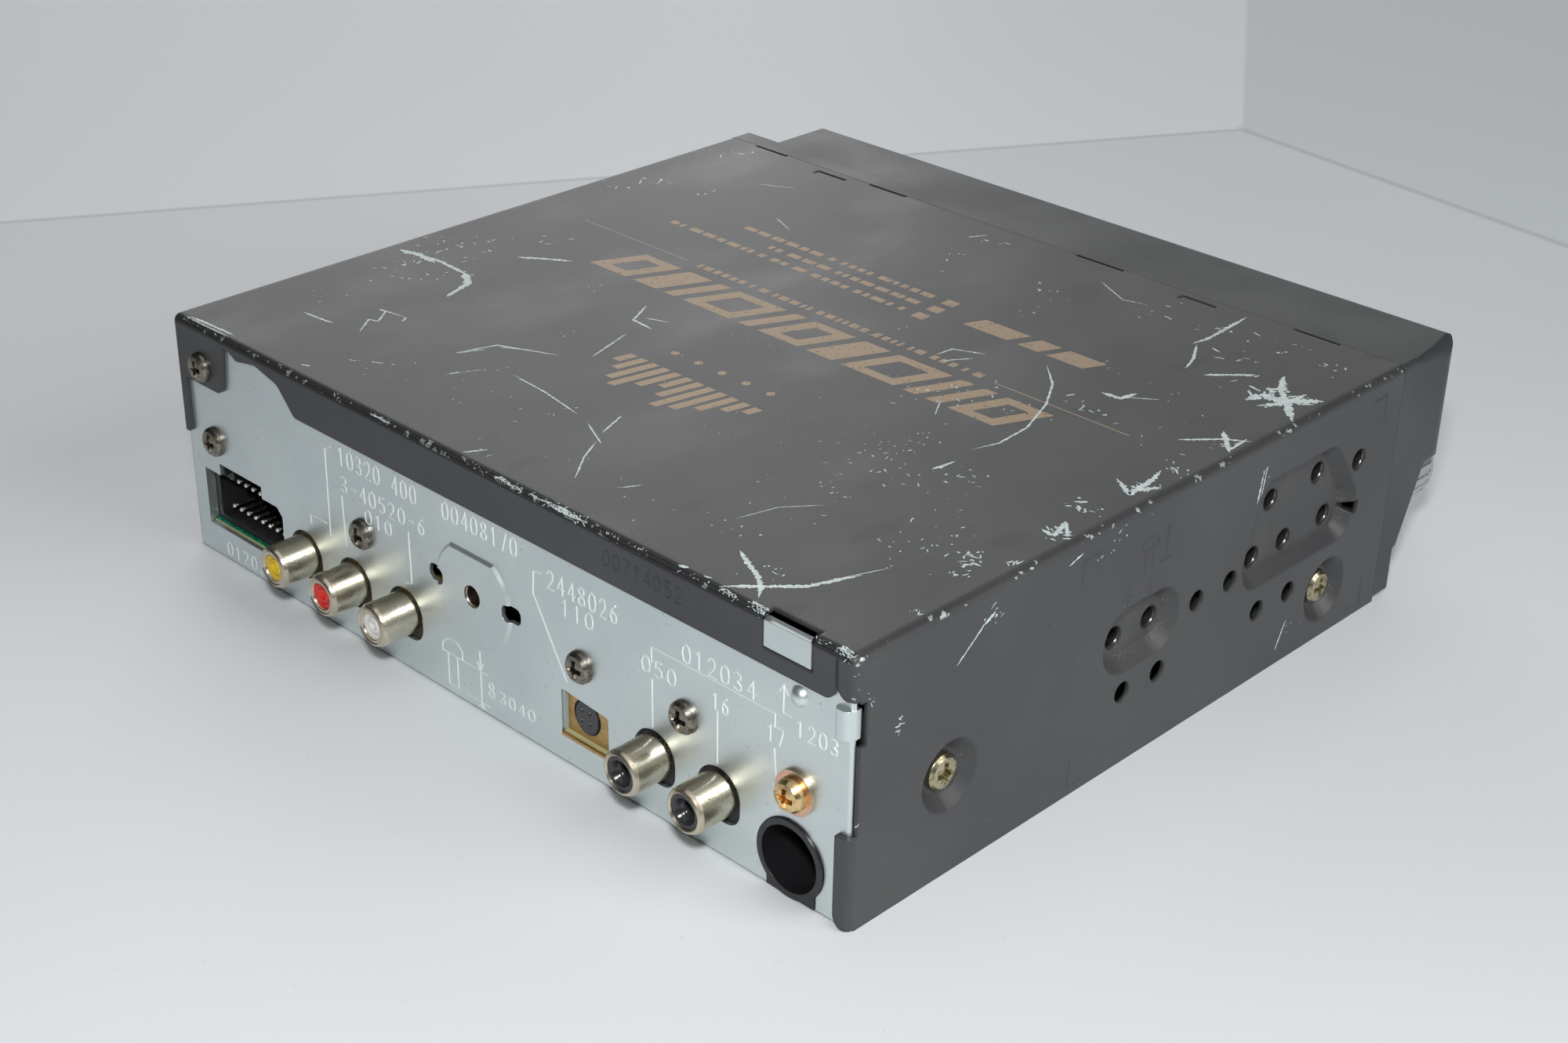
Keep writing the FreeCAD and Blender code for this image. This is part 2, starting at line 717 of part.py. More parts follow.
def make_digital_insert():
    y1 = panel_y - steel - slip
    back = y1 - digital_plug_len
    collar = rod_y_line(digital_plug_r + digital_step - insert_gap, back, y1 - 4, digital_plug)
    plug = join([rod_y_line(digital_plug_r, back, y1, digital_plug), collar])
    u, v = digital_plug
    angles = [math.radians(45 + 90 * k) for k in range(4)]
    spots = [(u + contact_ring_r * math.cos(a), v + contact_ring_r * math.sin(a)) for a in angles]
    return cut(plug, [rod_y_line(contact_hole_r, y1 - 2, y1 + 1, spot) for spot in spots])


def bus_clearance():
    """The space that the round socket's body needs through the board and the floor."""
    half = bus_r + bus_gap
    front = panel_y + bus_out - bus_len - bus_gap
    return box(bus_at[0] - half, bus_at[0] + half, front, case_d, -1, case_h / 2)


def make_bus_shell():
    front = panel_y + bus_out
    back = front - bus_len
    x, z = bus_at
    bore_r = bus_r - bus_wall
    web = box(x - bus_web[0], x + bus_web[1], panel_y - steel, panel_y + 0.2, panel_low, z - 2)
    foot = box(x - bus_r + 0.3, x + bus_r - 0.3, back, panel_y - steel - 0.2, board_top, z)
    key = box(x - bus_key_half, x + bus_key_half, back, front - 1.2, z + bore_r - 0.9, z + bus_r - 0.2)
    ring = join([rod_y_line(bus_r, back, front, bus_at), web, foot])
    return join([ring.cut(rod_y_line(bore_r, back - 1, front + 1, bus_at)), key])


def make_bus_core():
    front = panel_y + bus_out - bus_depth
    back = panel_y + bus_out - bus_len + 0.2
    x, z = bus_at
    r = bus_r - bus_wall - insert_gap
    angles = [math.radians(22.5 + 45 * k) for k in range(8)]
    spots = [bus_at] + [(x + 0.62 * r * math.cos(a), z + 0.62 * r * math.sin(a)) for a in angles]
    tools = [rod_y_line(bus_hole_r, front - 3, front + 1, spot) for spot in spots]
    key_half = bus_key_half + 0.1
    tools.append(box(x - key_half, x + key_half, back - 1, front + 1, z + r - 1, z + bus_r))
    return cut(rod_y_line(r, back, front, bus_at), tools)


# Screws

def cross_recess(size, face, depth):
    """Two crossed wedges that make a cross-head screw's recess in a head facing +Y."""
    arms = []
    for wide, tall in [(size, 0.26 * size), (0.26 * size, size)]:
        top = outline(rect((0, 0), wide, tall), "y", face + 0.02)
        foot = outline(rect((0, 0), 0.45 * wide, 0.45 * tall), "y", face - depth)
        arms.append(Part.makeLoft([top, foot], True, True))
    return arms


def pan_screw(head_r, head_h):
    """A pan-head screw seated on y = 0 with its head toward +Y."""
    points = [(0, head_h), (0.5 * head_r, 0.96 * head_h), (0.8 * head_r, 0.82 * head_h),
              (0.96 * head_r, 0.5 * head_h), (head_r, 0.2 * head_h), (head_r, 0), (shank_r, 0),
              (shank_r, -shank_len), (0, -shank_len)]
    return cut(turned(points, "y", Vector(0, 0, 0)), cross_recess(1.25 * head_r, head_h, 0.75 * head_h))


def seated(shape, spot, y):
    moved = shape.copy()
    moved.translate(along_y(spot, y))
    return moved


def make_panel_screws():
    screw = pan_screw(screw_r, screw_head)
    return Part.makeCompound([seated(screw, spot, panel_y) for spot in panel_screw_at])


def make_lip_screw():
    return seated(pan_screw(screw_r, screw_head), lip_screw_at, case_d)


def make_earth_screw():
    return seated(pan_screw(screw_r, earth_head), earth_screw_at, panel_y + washer_t)


def make_earth_washer():
    ring = rod_y_line(washer_r, panel_y, panel_y + washer_t, earth_screw_at)
    return ring.cut(rod_y_line(shank_r + run_gap, panel_y - 1, case_d + 1, earth_screw_at))


def make_side_screws():
    screw = pan_screw(side_screw_r, screw_head)
    screw.rotate(Vector(0, 0, 0), Vector(0, 0, 1), 90)
    screws = []
    for y, z in side_screw_at:
        placed = screw.copy()
        placed.translate(Vector(-side_x + dimple, y, z))
        screws += [placed, mirror_x(placed)]
    return Part.makeCompound(screws)


# Boards

def make_main_board():
    half = tray_in - board_margin
    board = box(-half, half, board_front, panel_y - steel - 0.3, board_low, board_top)
    over = shield_over + 0.3
    behind_shield = box(digital_x[0] - over, digital_x[1] + over, panel_y - steel - 1.3, case_d, 0, case_h)
    return cut(board, [bus_clearance(), behind_shield])


def make_board_parts():
    """The board's tall parts: capacitors, chips, a coil and the heat sink."""
    rear = case_d - 38.0
    cans = [(-66, rear), (-54, rear), (-66, rear + 12)]
    parts = [rod_z_line(5.0, board_top, board_top + 11, spot) for spot in cans]
    parts += [rod_z_line(3.2, board_top, board_top + 8, spot) for spot in [(60, 60), (60, 70), (52, 60)]]
    chips = [(-20, 70, 28, 28), (24, 62, 20, 20), (-6, rear - 4, 18, 10), (30, rear - 8, 14, 22),
             (-52, 72, 14, 8)]
    parts += [slab(rect((x, y), w, d), "z", board_top, board_top + 2.2) for x, y, w, d in chips]
    parts.append(slab(rect((-34, rear + 2), 12, 12), "z", board_top, board_top + 6))
    parts.append(slab(rect((65.5, rear - 16), 3, 40), "z", board_top, board_top + 15))
    return Part.makeCompound(parts)


# Front

def nose_solid(inset):
    """The nose: a deep upper block over a slanted lower part, rounded at the knob's end.

    That end's long edges are crisp at the frame and grow rounder toward the face.
    """
    shell = inset > 0
    front = nose_front + inset
    back = -frame_t + (1 if shell else 0)
    low, top = nose_under + inset, nose_top - inset
    heel = nose_heel + inset
    top_r, low_r, end_r = (0.6, 0.8, 0.6) if shell else (2.4, 4.0, 1.6)
    profile = [(back, heel), (-6.4 + inset, heel + 0.3, 0.5), (-12.6 + inset, low, 0.5), (front, low, low_r),
               (front, top, top_r), (back, top)]
    x0, x1 = nose_x[0] + inset, nose_x[1] - inset
    plan = [(x0, 2), (x0, front, nose_corner - inset), (x1, front, end_r), (x1, 2)]
    body = slab(profile, "x", x0, x1).common(slab(plan, "z", 0, case_h + 1))
    if shell:
        return body
    rounds = []
    for y, z, r in ((back, heel - 0.1, nose_back_round), (-6.4, heel - 0.1, 1.5 * nose_back_round),
                    (-12.8, low - 0.1, 2.5 * nose_back_round), (front, low - 0.1, nose_face_round)):
        rounds.append(outline([(x0, z, r), (x1 + 1, z), (x1 + 1, top + 0.1), (x0, top + 0.1, r)], "y", y))
    return body.common(Part.makeLoft(rounds, True, True))


def button_spots():
    """Each button's place and size on the nose: x, z, width and height."""
    spots = {}
    for k, name in enumerate(button_names):
        spots[name + "_button"] = (button_first_x + k * button_pitch, button_row_z, button_w, button_h)
    spots["eject_button"] = (*eject_at, end_button_w, end_button_h)
    spots["power_button"] = (*power_button_at, end_button_w, end_button_h)
    return spots


def make_front_panel():
    recess_r = knob_r + knob_gap
    cup = rod_y_line(recess_r + cup_wall, nose_front, -frame_t, knob_at).common(nose_solid(0))
    low, high = slot_z
    half = slot_half + shelf_t
    y0 = nose_inner - 0.5
    throat = box(-half, half, y0, shelf_end, low - shelf_t, high + shelf_t)
    throat = throat.cut(box(-slot_half, slot_half, y0 - 1, shelf_end + 1, low, high))
    body = join([nose_solid(0).cut(nose_solid(nose_wall)), cup, throat])
    middle = (0, load_z)
    mouth_out = outline(rect(middle, 2 * slot_half + 2.4, slot_h + 1.8, 0.8), "y", nose_front - 0.01)
    mouth_in = outline(rect(middle, 2 * slot_half, slot_h, 0.4), "y", nose_front + 1.2)
    outside, inside, lens_back = nose_front - 1, nose_inner + 0.5, nose_front + lens_t
    tools = [Part.makeLoft([mouth_out, mouth_in], True, True),
             slab(rect(middle, 2 * slot_half, slot_h, 0.4), "y", outside, inside),
             rod_y_line(recess_r, outside, -knob_floor, knob_at),
             rod_y_line(encoder_shaft_r + 0.6, outside, 1, knob_at),
             slab(rect(lens_mid, lens_w + 2 * slip, lens_h + 2 * slip, 1.1), "y", outside, lens_back),
             slab(rect(lens_mid, lens_w - 2, lens_h - 2, 0.8), "y", outside, inside)]
    for x, z, w, h in button_spots().values():
        hole = rect((x, z), w + 2 * cap_gap, h + 2 * cap_gap, cap_corner + cap_gap)
        tools.append(slab(hole, "y", outside, inside))
    return cut(body, tools)


def make_display_lens():
    return slab(rect(lens_mid, lens_w, lens_h, 1.0), "y", nose_front, nose_front + lens_t)


def make_display_module():
    """The display's glass behind the window, on a stand that reaches the front board."""
    glass = slab(rect(lens_mid, lens_w - 1, lens_h - 0.6), "y", nose_inner + 0.2, -8)
    stand = slab(rect(lens_mid, lens_w - 8, lens_h - 3), "y", -9, -front_board_t)
    return join([glass, stand])


def make_slot_felts():
    low, high = slot_z[0] - shelf_t, slot_z[1] + shelf_t
    y0, y1 = shelf_end, shelf_end + felt_t
    upper = box(-slot_half, slot_half, y0, y1, load_z + felt_gap / 2, high)
    lower = box(-slot_half, slot_half, y0, y1, low, load_z - felt_gap / 2)
    return Part.makeCompound([upper, lower])


def make_button(x, z, w, h):
    """A cap with a retaining flange behind the nose's wall and a stem up to its switch."""
    face = nose_front - cap_proud
    cap = slab(rect((x, z), w, h, cap_corner), "y", face, nose_inner + 0.2)
    rim = [e for e in cap.Edges if e.BoundBox.YMax < face + slip]
    cap = cap.makeChamfer(0.4, rim)
    flange_y = nose_inner + slip
    rim_size = (w + 2 * flange_over, h + 2 * flange_over)
    flange = slab(rect((x, z), *rim_size, 0.6), "y", flange_y, flange_y + flange_t)
    stem_end = -front_board_t - switch_h - travel - slip
    return join([cap, flange, rod_y_line(stem_r, nose_inner, stem_end, (x, z))])


def make_switches():
    board = -front_board_t
    switches = []
    for x, z, w, h in button_spots().values():
        base = slab(rect((x, z), switch_size, switch_size), "y", board - switch_h + switch_tip, board)
        tip = rod_y_line(min(stem_r, w, h), board - switch_h, board - 1, (x, z))
        switches.append(join([base, tip]))
    return Part.makeCompound(switches)


def make_front_board():
    """The board in the frame's window, cut away where the disc passes over it."""
    x0, x1 = window_x[0] + 2 * slip, window_x[1] - 2 * slip
    low, high = front_board_low, window_z[1] - 2 * slip
    edge, sill = slot_half + shelf_t, slot_z[0] - shelf_t - 0.4
    points = [(x0, low, 1), (x1, low, 1), (x1, high, 1), (edge, high), (edge, sill), (-edge, sill),
              (-edge, high), (x0, high, 1)]
    return slab(points, "y", -front_board_t, 0)


def make_encoder():
    body = slab(rect(knob_at, 2 * encoder_half, 2 * encoder_half, 0.5), "y", -frame_t + slip, -front_board_t)
    bush = rod_y_line(encoder_shaft_r + 0.5, -knob_floor, -frame_t + 2 * slip, knob_at)
    bore = rod_y_line(spindle_stem_r + run_gap, -knob_floor - 1, -front_board_t - 0.6, knob_at)
    return join([body, bush]).cut(bore)


def make_encoder_shaft():
    stem = rod_y_line(spindle_stem_r, -knob_floor - 1.4, -front_board_t - 0.8, knob_at)
    return join([stem, rod_y_line(encoder_shaft_r, -knob_front + 4, -knob_floor - 0.3, knob_at)])


def make_knob():
    """Turned knob with a fluted rim and a chamfered, slightly dished face."""
    face, back = -knob_front, -knob_floor - knob_lift
    length = back - face
    points = [(0, 0.6), (knob_r - 2.4, 0.2), (knob_r - 1.4, 0), (knob_r, 1.2), (knob_r, length), (0, length)]
    body = turned(points, "y", along_y(knob_at, face))
    u, v = knob_at
    tools = [rod_y_line(encoder_shaft_r, face + 4, back + 1, knob_at)]
    for k in range(flute_count):
        a = 2 * math.pi * k / flute_count
        spot = (u + (knob_r + flute_r / 2) * math.cos(a), v + (knob_r + flute_r / 2) * math.sin(a))
        tools.append(rod_y_line(flute_r, face + 2.0, back - 1.5, spot))
    return cut(body, tools)


def make_front_frame():
    corner, top_corner = 0.8, 1.2
    ring = slab([(-side_x, frame_low, corner), (side_x, frame_low, corner), (side_x, case_h, top_corner),
                 (-side_x, case_h, top_corner)], "y", -frame_t, 0)
    (x0, x1), (z0, z1) = window_x, window_z
    ring = ring.cut(slab([(x0, z0, 1), (x1, z0, 1), (x1, z1, 1), (x0, z1, 1)], "y", -frame_t - 1, 1))
    return join([ring] + frame_tongues())


def frame_tongues():
    """Tongues behind the frame that reach under the cover and over the tray's floor."""
    y0, y1 = -0.5, tongue_in
    top = case_h - steel - slip
    tongues = [box(x0, x1, y0, y1, top - tongue_t, top) for x0, x1 in frame_slots()]
    outer = inner_x - slip
    for z in (12.0, case_h - 7.0):
        side = box(outer - tongue_t, outer, y0, y1, z - 4, z + 4)
        tongues += [side, mirror_x(side)]
    low = steel + slip
    tongues += [box(x - 6, x + 6, y0, y1, low, low + tongue_t) for x in (-50.0, 50.0)]
    return tongues


def make_ribbon():
    """Flat cable from the front board down to the main board, bent round two easy curves."""
    half = ribbon_t / 2
    high, low = ribbon_high, board_top + half
    turn, end = ribbon_turn, board_front + 10
    wide, tight = ribbon_r + half, ribbon_r - half
    points = [(0.0, high + half), (turn + half, high + half, wide), (turn + half, low + half, tight),
              (end, low + half), (end, low - half), (turn - half, low - half, wide),
              (turn - half, high - half, tight), (0.0, high - half)]
    return slab(points, "x", -ribbon_half, ribbon_half)


# Disc mechanism

def make_rails():
    top = rail_z + rail_t
    pieces = [box(*rail_x, *rail_y, rail_z, top)]
    for y0, y1 in rail_tabs:
        pieces.append(box(rail_x[1] - 0.2, tray_in, y0, y1, rail_z, top))
        pieces.append(box(tray_in - steel, tray_in, y0, y1, top - rail_web_h, top))
    rail = join(pieces)
    return Part.makeCompound([rail, mirror_x(rail)])


def make_dampers():
    low = deck_z - damper_h
    r = damper_r
    points = [(0, low), (r, low), (r, low + 1), (r - 1, low + damper_h / 2), (r, deck_z - 1), (r, deck_z),
              (0, deck_z)]
    return Part.makeCompound([turned(points, "z", Vector(x, y, 0)) for x, y in damper_at])


def beside(centre, distance, degrees):
    """The (y, z) point at a distance from another, in a direction counted from +Y to +Z."""
    a = math.radians(degrees)
    return (centre[0] + distance * math.cos(a), centre[1] + distance * math.sin(a))


def tooth_phase(teeth, first_angle, toward):
    """How far a gear's tooth stands from the line toward its mate, as a share of one pitch."""
    pitch = 360.0 / teeth
    return ((toward - first_angle) % pitch) / pitch


def mating_angle(teeth, toward, mate_phase):
    """First tooth angle that puts a gap of this gear where its mate has a tooth."""
    pitch = 360.0 / teeth
    return toward - ((0.5 - mate_phase) % 1.0) * pitch


# Loading gears, in mesh at rest: their centres as (y, z), first tooth angles and span in x
roller_at = (roller_y, disc_low - roller_r)
idler_at = beside(roller_at, gear_module * (roller_teeth + idler_teeth) / 2, idler_angle)
pinion_at = beside(idler_at, gear_module * (idler_teeth + pinion_teeth) / 2, pinion_angle)
idler_first = 0.0
toward_roller = tooth_phase(idler_teeth, idler_first, idler_angle + 180)
toward_pinion = tooth_phase(idler_teeth, idler_first, pinion_angle)
roller_first = mating_angle(roller_teeth, idler_angle, toward_roller)
pinion_first = mating_angle(pinion_teeth, pinion_angle + 180, toward_pinion)
gear_x1 = -cheek_x - cheek_t - gear_side_gap
gear_x0 = gear_x1 - gear_w


def gear(teeth, centre, first_angle, bore):
    """Spur gear about X with straight-flanked teeth, thinned by the backlash."""
    pitch_r = gear_module * teeth / 2
    tip_r, root_r = pitch_r + 0.8 * gear_module, pitch_r - 1.1 * gear_module
    half = math.pi * gear_module / 4 - gear_backlash / 2
    tip_half, root_half = half - 0.28 * gear_module, half + 0.34 * gear_module
    flank = [(root_r, -root_half), (tip_r, -tip_half), (tip_r, tip_half), (root_r, root_half)]
    points = []
    for k in range(teeth):
        a = first_angle + 360.0 * k / teeth
        points += [beside(centre, radius, a + math.degrees(offset / radius)) for radius, offset in flank]
    return slab(points, "x", gear_x0, gear_x1).cut(rod_x_line(bore, gear_x0 - 1, gear_x1 + 1, centre))


def deck_cheeks():
    """The deck's upright side plates, which carry the roller and, on the left, its gears."""
    front, high = cheek_front, slot_z[1]
    low = roller_at[1] - 4.5
    motor_rear = pinion_at[0] + load_motor_r + 1.5
    left = [(front, low, 2), (idler_at[0] - 2, deck_z - 3, 2), (motor_rear, deck_z - 6, 2),
            (motor_rear, deck_z + 6, 2), (idler_at[0] + 4, roller_at[1], 2), (roller_y + 5, high, 1),
            (front, high, 1)]
    right = [(front, low, 2), (deck_y[0] + 1, deck_z, 1), (deck_y[0] + 12, deck_z, 1),
             (deck_y[0] + 6, roller_at[1], 2), (roller_y + 5, high, 1), (front, high, 1)]
    return [slab(left, "x", -cheek_x - cheek_t, -cheek_x), slab(right, "x", cheek_x, cheek_x + cheek_t)]


def rod_blocks():
    """Bent-up blocks that hold the guide rods' ends and the lead screw's far end."""
    low, high = deck_top - 0.1, rod_z + rod_r + 1.1
    half, t = rod_block_half, rod_block_t
    far = [box(rod_x[1] - t + 1, rod_x[1] + 1, y - half, y + half, low, high) for y in (*rod_y, screw_line_y)]
    near = [box(rod_x[0] - 1, rod_x[0] - 1 + t, y - half, y + half, low, high) for y in rod_y]
    return far + near


def deck_windows():
    """What is open in the deck's plate: the gears, the motors, the optics and two lightening windows."""
    low, high = deck_z - 1, deck_top + 1
    shroud = feed_motor_r + 0.3
    front = deck_y[0]
    motor_rear = pinion_at[0] + load_motor_r + 0.8
    motor_x0, motor_x1 = feed_motor_x[0] - 0.5, feed_motor_x[1] + 0.5
    windows = [box(-cheek_x - 9, -cheek_x - cheek_t, front - 1, pinion_at[0] + 6, low, high),
               box(-cheek_x, -cheek_x + load_motor_len + 1, front + 3, motor_rear, low, high),
               box(motor_x0, motor_x1, screw_line_y - shroud, screw_line_y + shroud, low, high)]
    windows.append(slab(rect((46, spindle_y), 44, 34, 3), "z", low, high))
    windows += [slab(rect((-45, y), 34, 22, 4), "z", low, high) for y in (spindle_y - 5, spindle_y + 29)]
    return windows


def make_deck():
    plate = box(-deck_x, deck_x, *deck_y, deck_z, deck_top)
    ear = box(ear_x - 1, ear_x + 1, arm_hinge_y - 4, deck_y[1], deck_top - 0.1, arm_z + 2.2)
    body = join([plate, ear, mirror_x(ear)] + deck_cheeks() + rod_blocks())
    shaft_hole = rod_x_line(roller_shaft_r + run_gap, cheek_x - 1, cheek_x + 3, roller_at)
    tools = deck_windows() + [shaft_hole, mirror_x(shaft_hole)]
    tools.append(rod_x_line(pinion_shaft_r + 1.2, -cheek_x - 3, -cheek_x + 1, pinion_at))
    tools.append(rod_x_line(idler_pin_r, -cheek_x - 3, -cheek_x + 1, idler_at))
    tools.append(rod_x_line(arm_pin_r, -ear_x - 3, ear_x + 3, (arm_hinge_y, arm_z)))
    tools += [rod_x_line(rod_r, *rod_x, (y, rod_z)) for y in rod_y]
    tools.append(rod_x_line(rod_r + run_gap, rod_x[1] - 3, rod_x[1] + 2, (screw_line_y, rod_z)))
    return cut(body, tools)


def make_deck_pins():
    """The steel pins pressed into the deck: two guide rods, the clamp arm's pin and the idler's pin."""
    pins = [rod_x_line(rod_r, *rod_x, (y, rod_z)) for y in rod_y]
    pins.append(rod_x_line(arm_pin_r, -ear_x - 1, ear_x + 1, (arm_hinge_y, arm_z)))
    pins.append(rod_x_line(idler_pin_r, gear_x0 - 0.8, -cheek_x, idler_at))
    return Part.makeCompound(pins)


def make_spindle_motor():
    top = play_z - turntable_t - motor_gap
    spot = (0, spindle_y)
    bore = rod_z_line(spindle_r + run_gap, deck_z, top + 1, spot)
    return rod_z_line(motor_r, deck_top, top, spot).cut(bore)


def make_turntable():
    low = play_z - turntable_t
    points = [(0, low - spindle_len), (spindle_r, low - spindle_len), (spindle_r, low), (turntable_r, low),
              (turntable_r, play_z), (hub_r, play_z), (hub_r, play_z + 0.9), (hub_r - 1.2, play_z + hub_up),
              (0, play_z + hub_up)]
    return turned(points, "z", Vector(0, spindle_y, 0))


def make_clamper():
    """The clamper's dished disc, its neck through the arm and the cap that hangs it there."""
    neck = arm_z - clamper_low + arm_t + clamper_play
    rim = hub_r + 0.9
    cap_r = clamper_neck_r + 2
    points = [(0, 1.5), (rim, 1.5), (rim, 0), (clamper_r, 0), (clamper_r, clamper_t),
              (clamper_neck_r, clamper_t), (clamper_neck_r, neck), (cap_r, neck), (cap_r, neck + 0.6),
              (0, neck + 0.6)]
    return turned(points, "z", Vector(0, spindle_y, clamper_low))


def make_clamp_arm():
    tip, half = clamper_neck_r + 5, arm_w / 2
    shoulder = arm_hinge_y - 14
    points = [(-tip, spindle_y - tip, 5), (tip, spindle_y - tip, 5), (tip, spindle_y + tip, 3),
              (half, shoulder, 3), (half, arm_hinge_y), (-half, arm_hinge_y), (-half, shoulder, 3),
              (-tip, spindle_y + tip, 3)]
    hinge = (arm_hinge_y, arm_z)
    arm = join([slab(points, "z", arm_z, arm_z + arm_t), rod_x_line(arm_barrel_r, -half, half, hinge)])
    low, high = arm_z - 1, arm_z + arm_t + 1
    slot_mid = (0, (spindle_y + arm_hinge_y) / 2 + 4)
    tools = [rod_z_line(clamper_neck_r + 0.15, low, high, (0, spindle_y)),
             slab(rect(slot_mid, 6, 26, 2.5), "z", low, high),
             rod_x_line(arm_pin_r + run_gap, -half - 1, half + 1, hinge)]
    return cut(arm, tools)


def make_pickup():
    """The sled: bored for one rod, forked over the other, with its nut on the lead screw."""
    near, far = rod_y
    low, high = rod_z - sled_t / 2, rod_z + sled_t / 2
    x0, x1 = sled_x
    body = box(x0, x1, near - 3.4, far + 3, low, high)
    nut = box(x0 + 5, x1 - 5, screw_line_y - 3, near - 3, low, high)
    fit = rod_r + run_gap
    tools = [rod_x_line(fit, x0 - 1, x1 + 1, (y, rod_z)) for y in (near, screw_line_y)]
    tools.append(box(x0 - 1, x1 + 1, far - fit, far + 4, rod_z - fit, rod_z + fit))
    tools.append(slab(rect(((x0 + x1) / 2 + 4, spindle_y), 5, 14, 1.5), "z", low - 1, high + 1))
    lens = [(0, high), (3.6, high), (3.6, high + 0.5), (2.2, high + 0.5), (1.6, high + 1.0), (0, high + 1.2)]
    lens = turned(lens, "z", Vector(lens_x, spindle_y, 0))
    return Part.makeCompound([cut(join([body, nut]), tools), lens])


def make_lead_screw():
    return rod_x_line(rod_r, feed_motor_x[1] - 2.5, rod_x[1] + 0.8, (screw_line_y, rod_z))


def make_feed_motor():
    spot = (screw_line_y, rod_z)
    bore = rod_x_line(rod_r + run_gap, feed_motor_x[1] - 3, feed_motor_x[1] + 1, spot)
    return rod_x_line(feed_motor_r, *feed_motor_x, spot).cut(bore)


def make_roller_shaft():
    shaft = rod_x_line(roller_shaft_r, gear_x0 - 0.4, cheek_x + cheek_t + 0.6, roller_at)
    return join([shaft, gear(roller_teeth, roller_at, roller_first, 0.5 * roller_shaft_r)])


def make_rollers():
    """The two rubber sleeves, waisted toward the middle so that they touch the disc's rim only."""
    points = [(roller_shaft_r, roller_gap_half), (roller_waist, roller_gap_half), (roller_r, disc_r),
              (roller_shaft_r, disc_r)]
    sleeve = turned(points, "x", Vector(0, *roller_at))
    return Part.makeCompound([sleeve, mirror_x(sleeve)])


def make_idler():
    return gear(idler_teeth, idler_at, idler_first, idler_pin_r + run_gap)


def make_pinion():
    shaft = rod_x_line(pinion_shaft_r, gear_x0, -cheek_x + 3, pinion_at)
    return join([gear(pinion_teeth, pinion_at, pinion_first, 0.5 * pinion_shaft_r), shaft])


def make_load_motor():
    body = rod_x_line(load_motor_r, -cheek_x, -cheek_x + load_motor_len, pinion_at)
    return body.cut(rod_x_line(pinion_shaft_r + run_gap, -cheek_x - 1, -cheek_x + 3.4, pinion_at))


def make_disc_guide():
    """A bar between the cheeks that keeps the disc down on the roller."""
    low, high = disc_high + guide_gap, slot_z[1] + 1.0
    y0, y1 = guide_y
    points = [(y0, low + 0.8), (y0 + 1.2, low), (y1 - 1, low), (y1, low + 0.8), (y1, high), (y0, high)]
    return slab(points, "x", -cheek_x, cheek_x)


def place(shape):
    """Moves a finished piece so that the origin lies under the middle of the case."""
    moved = shape.copy()
    moved.translate(Vector(0, -case_d / 2, 0))
    return moved


jacks = jack_xs()
parts = {
    "top_cover": make_cover(),
    "chassis_tray": make_tray(),
    "rear_panel": make_rear_panel(),
    "rear_nut": make_rear_nut(),
    "panel_screws": make_panel_screws(),
    "lip_screw": make_lip_screw(),
    "side_screws": make_side_screws(),
    "earth_screw": make_earth_screw(),
    "earth_washer": make_earth_washer(),
    "jack_contacts": make_jack_contacts(),
    "yellow_jack_insert": jack_insert(jacks[0], 2.6),
    "red_jack_insert": jack_insert(jacks[1], 2.6),
    "white_jack_insert": jack_insert(jacks[2], 2.6),
    "black_jack_inserts": Part.makeCompound([jack_insert(x, 3.2) for x in jacks[3:]]),
    "triple_jack_block": jack_block(jacks[:3], triple_screw_at),
    "double_jack_block": jack_block(jacks[3:], double_screw_at),
    "power_header": make_power_header(),
    "power_pins": make_power_pins(),
    "digital_socket_shield": make_digital_shield(),
    "digital_socket_insert": make_digital_insert(),
    "bus_socket_shell": make_bus_shell(),
    "bus_socket_core": make_bus_core(),
    "main_board": make_main_board(),
    "board_parts": make_board_parts(),
    "front_frame": make_front_frame(),
    "front_panel": make_front_panel(),
    "display_lens": make_display_lens(),
    "display_module": make_display_module(),
    "slot_felts": make_slot_felts(),
    "front_board": make_front_board(),
    "front_switches": make_switches(),
    "encoder": make_encoder(),
    "encoder_shaft": make_encoder_shaft(),
    "volume_knob": make_knob(),
    "front_ribbon": make_ribbon(),
    "deck_rails": make_rails(),
    "deck_dampers": make_dampers(),
    "mechanism_deck": make_deck(),
    "deck_pins": make_deck_pins(),
    "spindle_motor": make_spindle_motor(),
    "turntable": make_turntable(),
    "clamper": make_clamper(),
    "clamp_arm": make_clamp_arm(),
    "pickup_sled": make_pickup(),
    "lead_screw": make_lead_screw(),
    "feed_motor": make_feed_motor(),
    "roller_shaft": make_roller_shaft(),
    "rubber_rollers": make_rollers(),
    "idler_gear": make_idler(),
    "load_pinion": make_pinion(),
    "load_motor": make_load_motor(),
    "disc_guide": make_disc_guide(),
}
for button, spot in button_spots().items():
    parts[button] = make_button(*spot)

os.makedirs("parts", exist_ok=True)
for node, shape in parts.items():
    piece = place(shape)
    piece.exportStep("parts/" + node + ".step")
    whole = "valid" if piece.isValid() else "NOT VALID"
    print(node, len(piece.Solids), "solids", round(piece.Volume, 1), "mm3", whole)
print(len(parts), "nodes")
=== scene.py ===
import math
import random

import bpy
from mathutils import Matrix, Vector


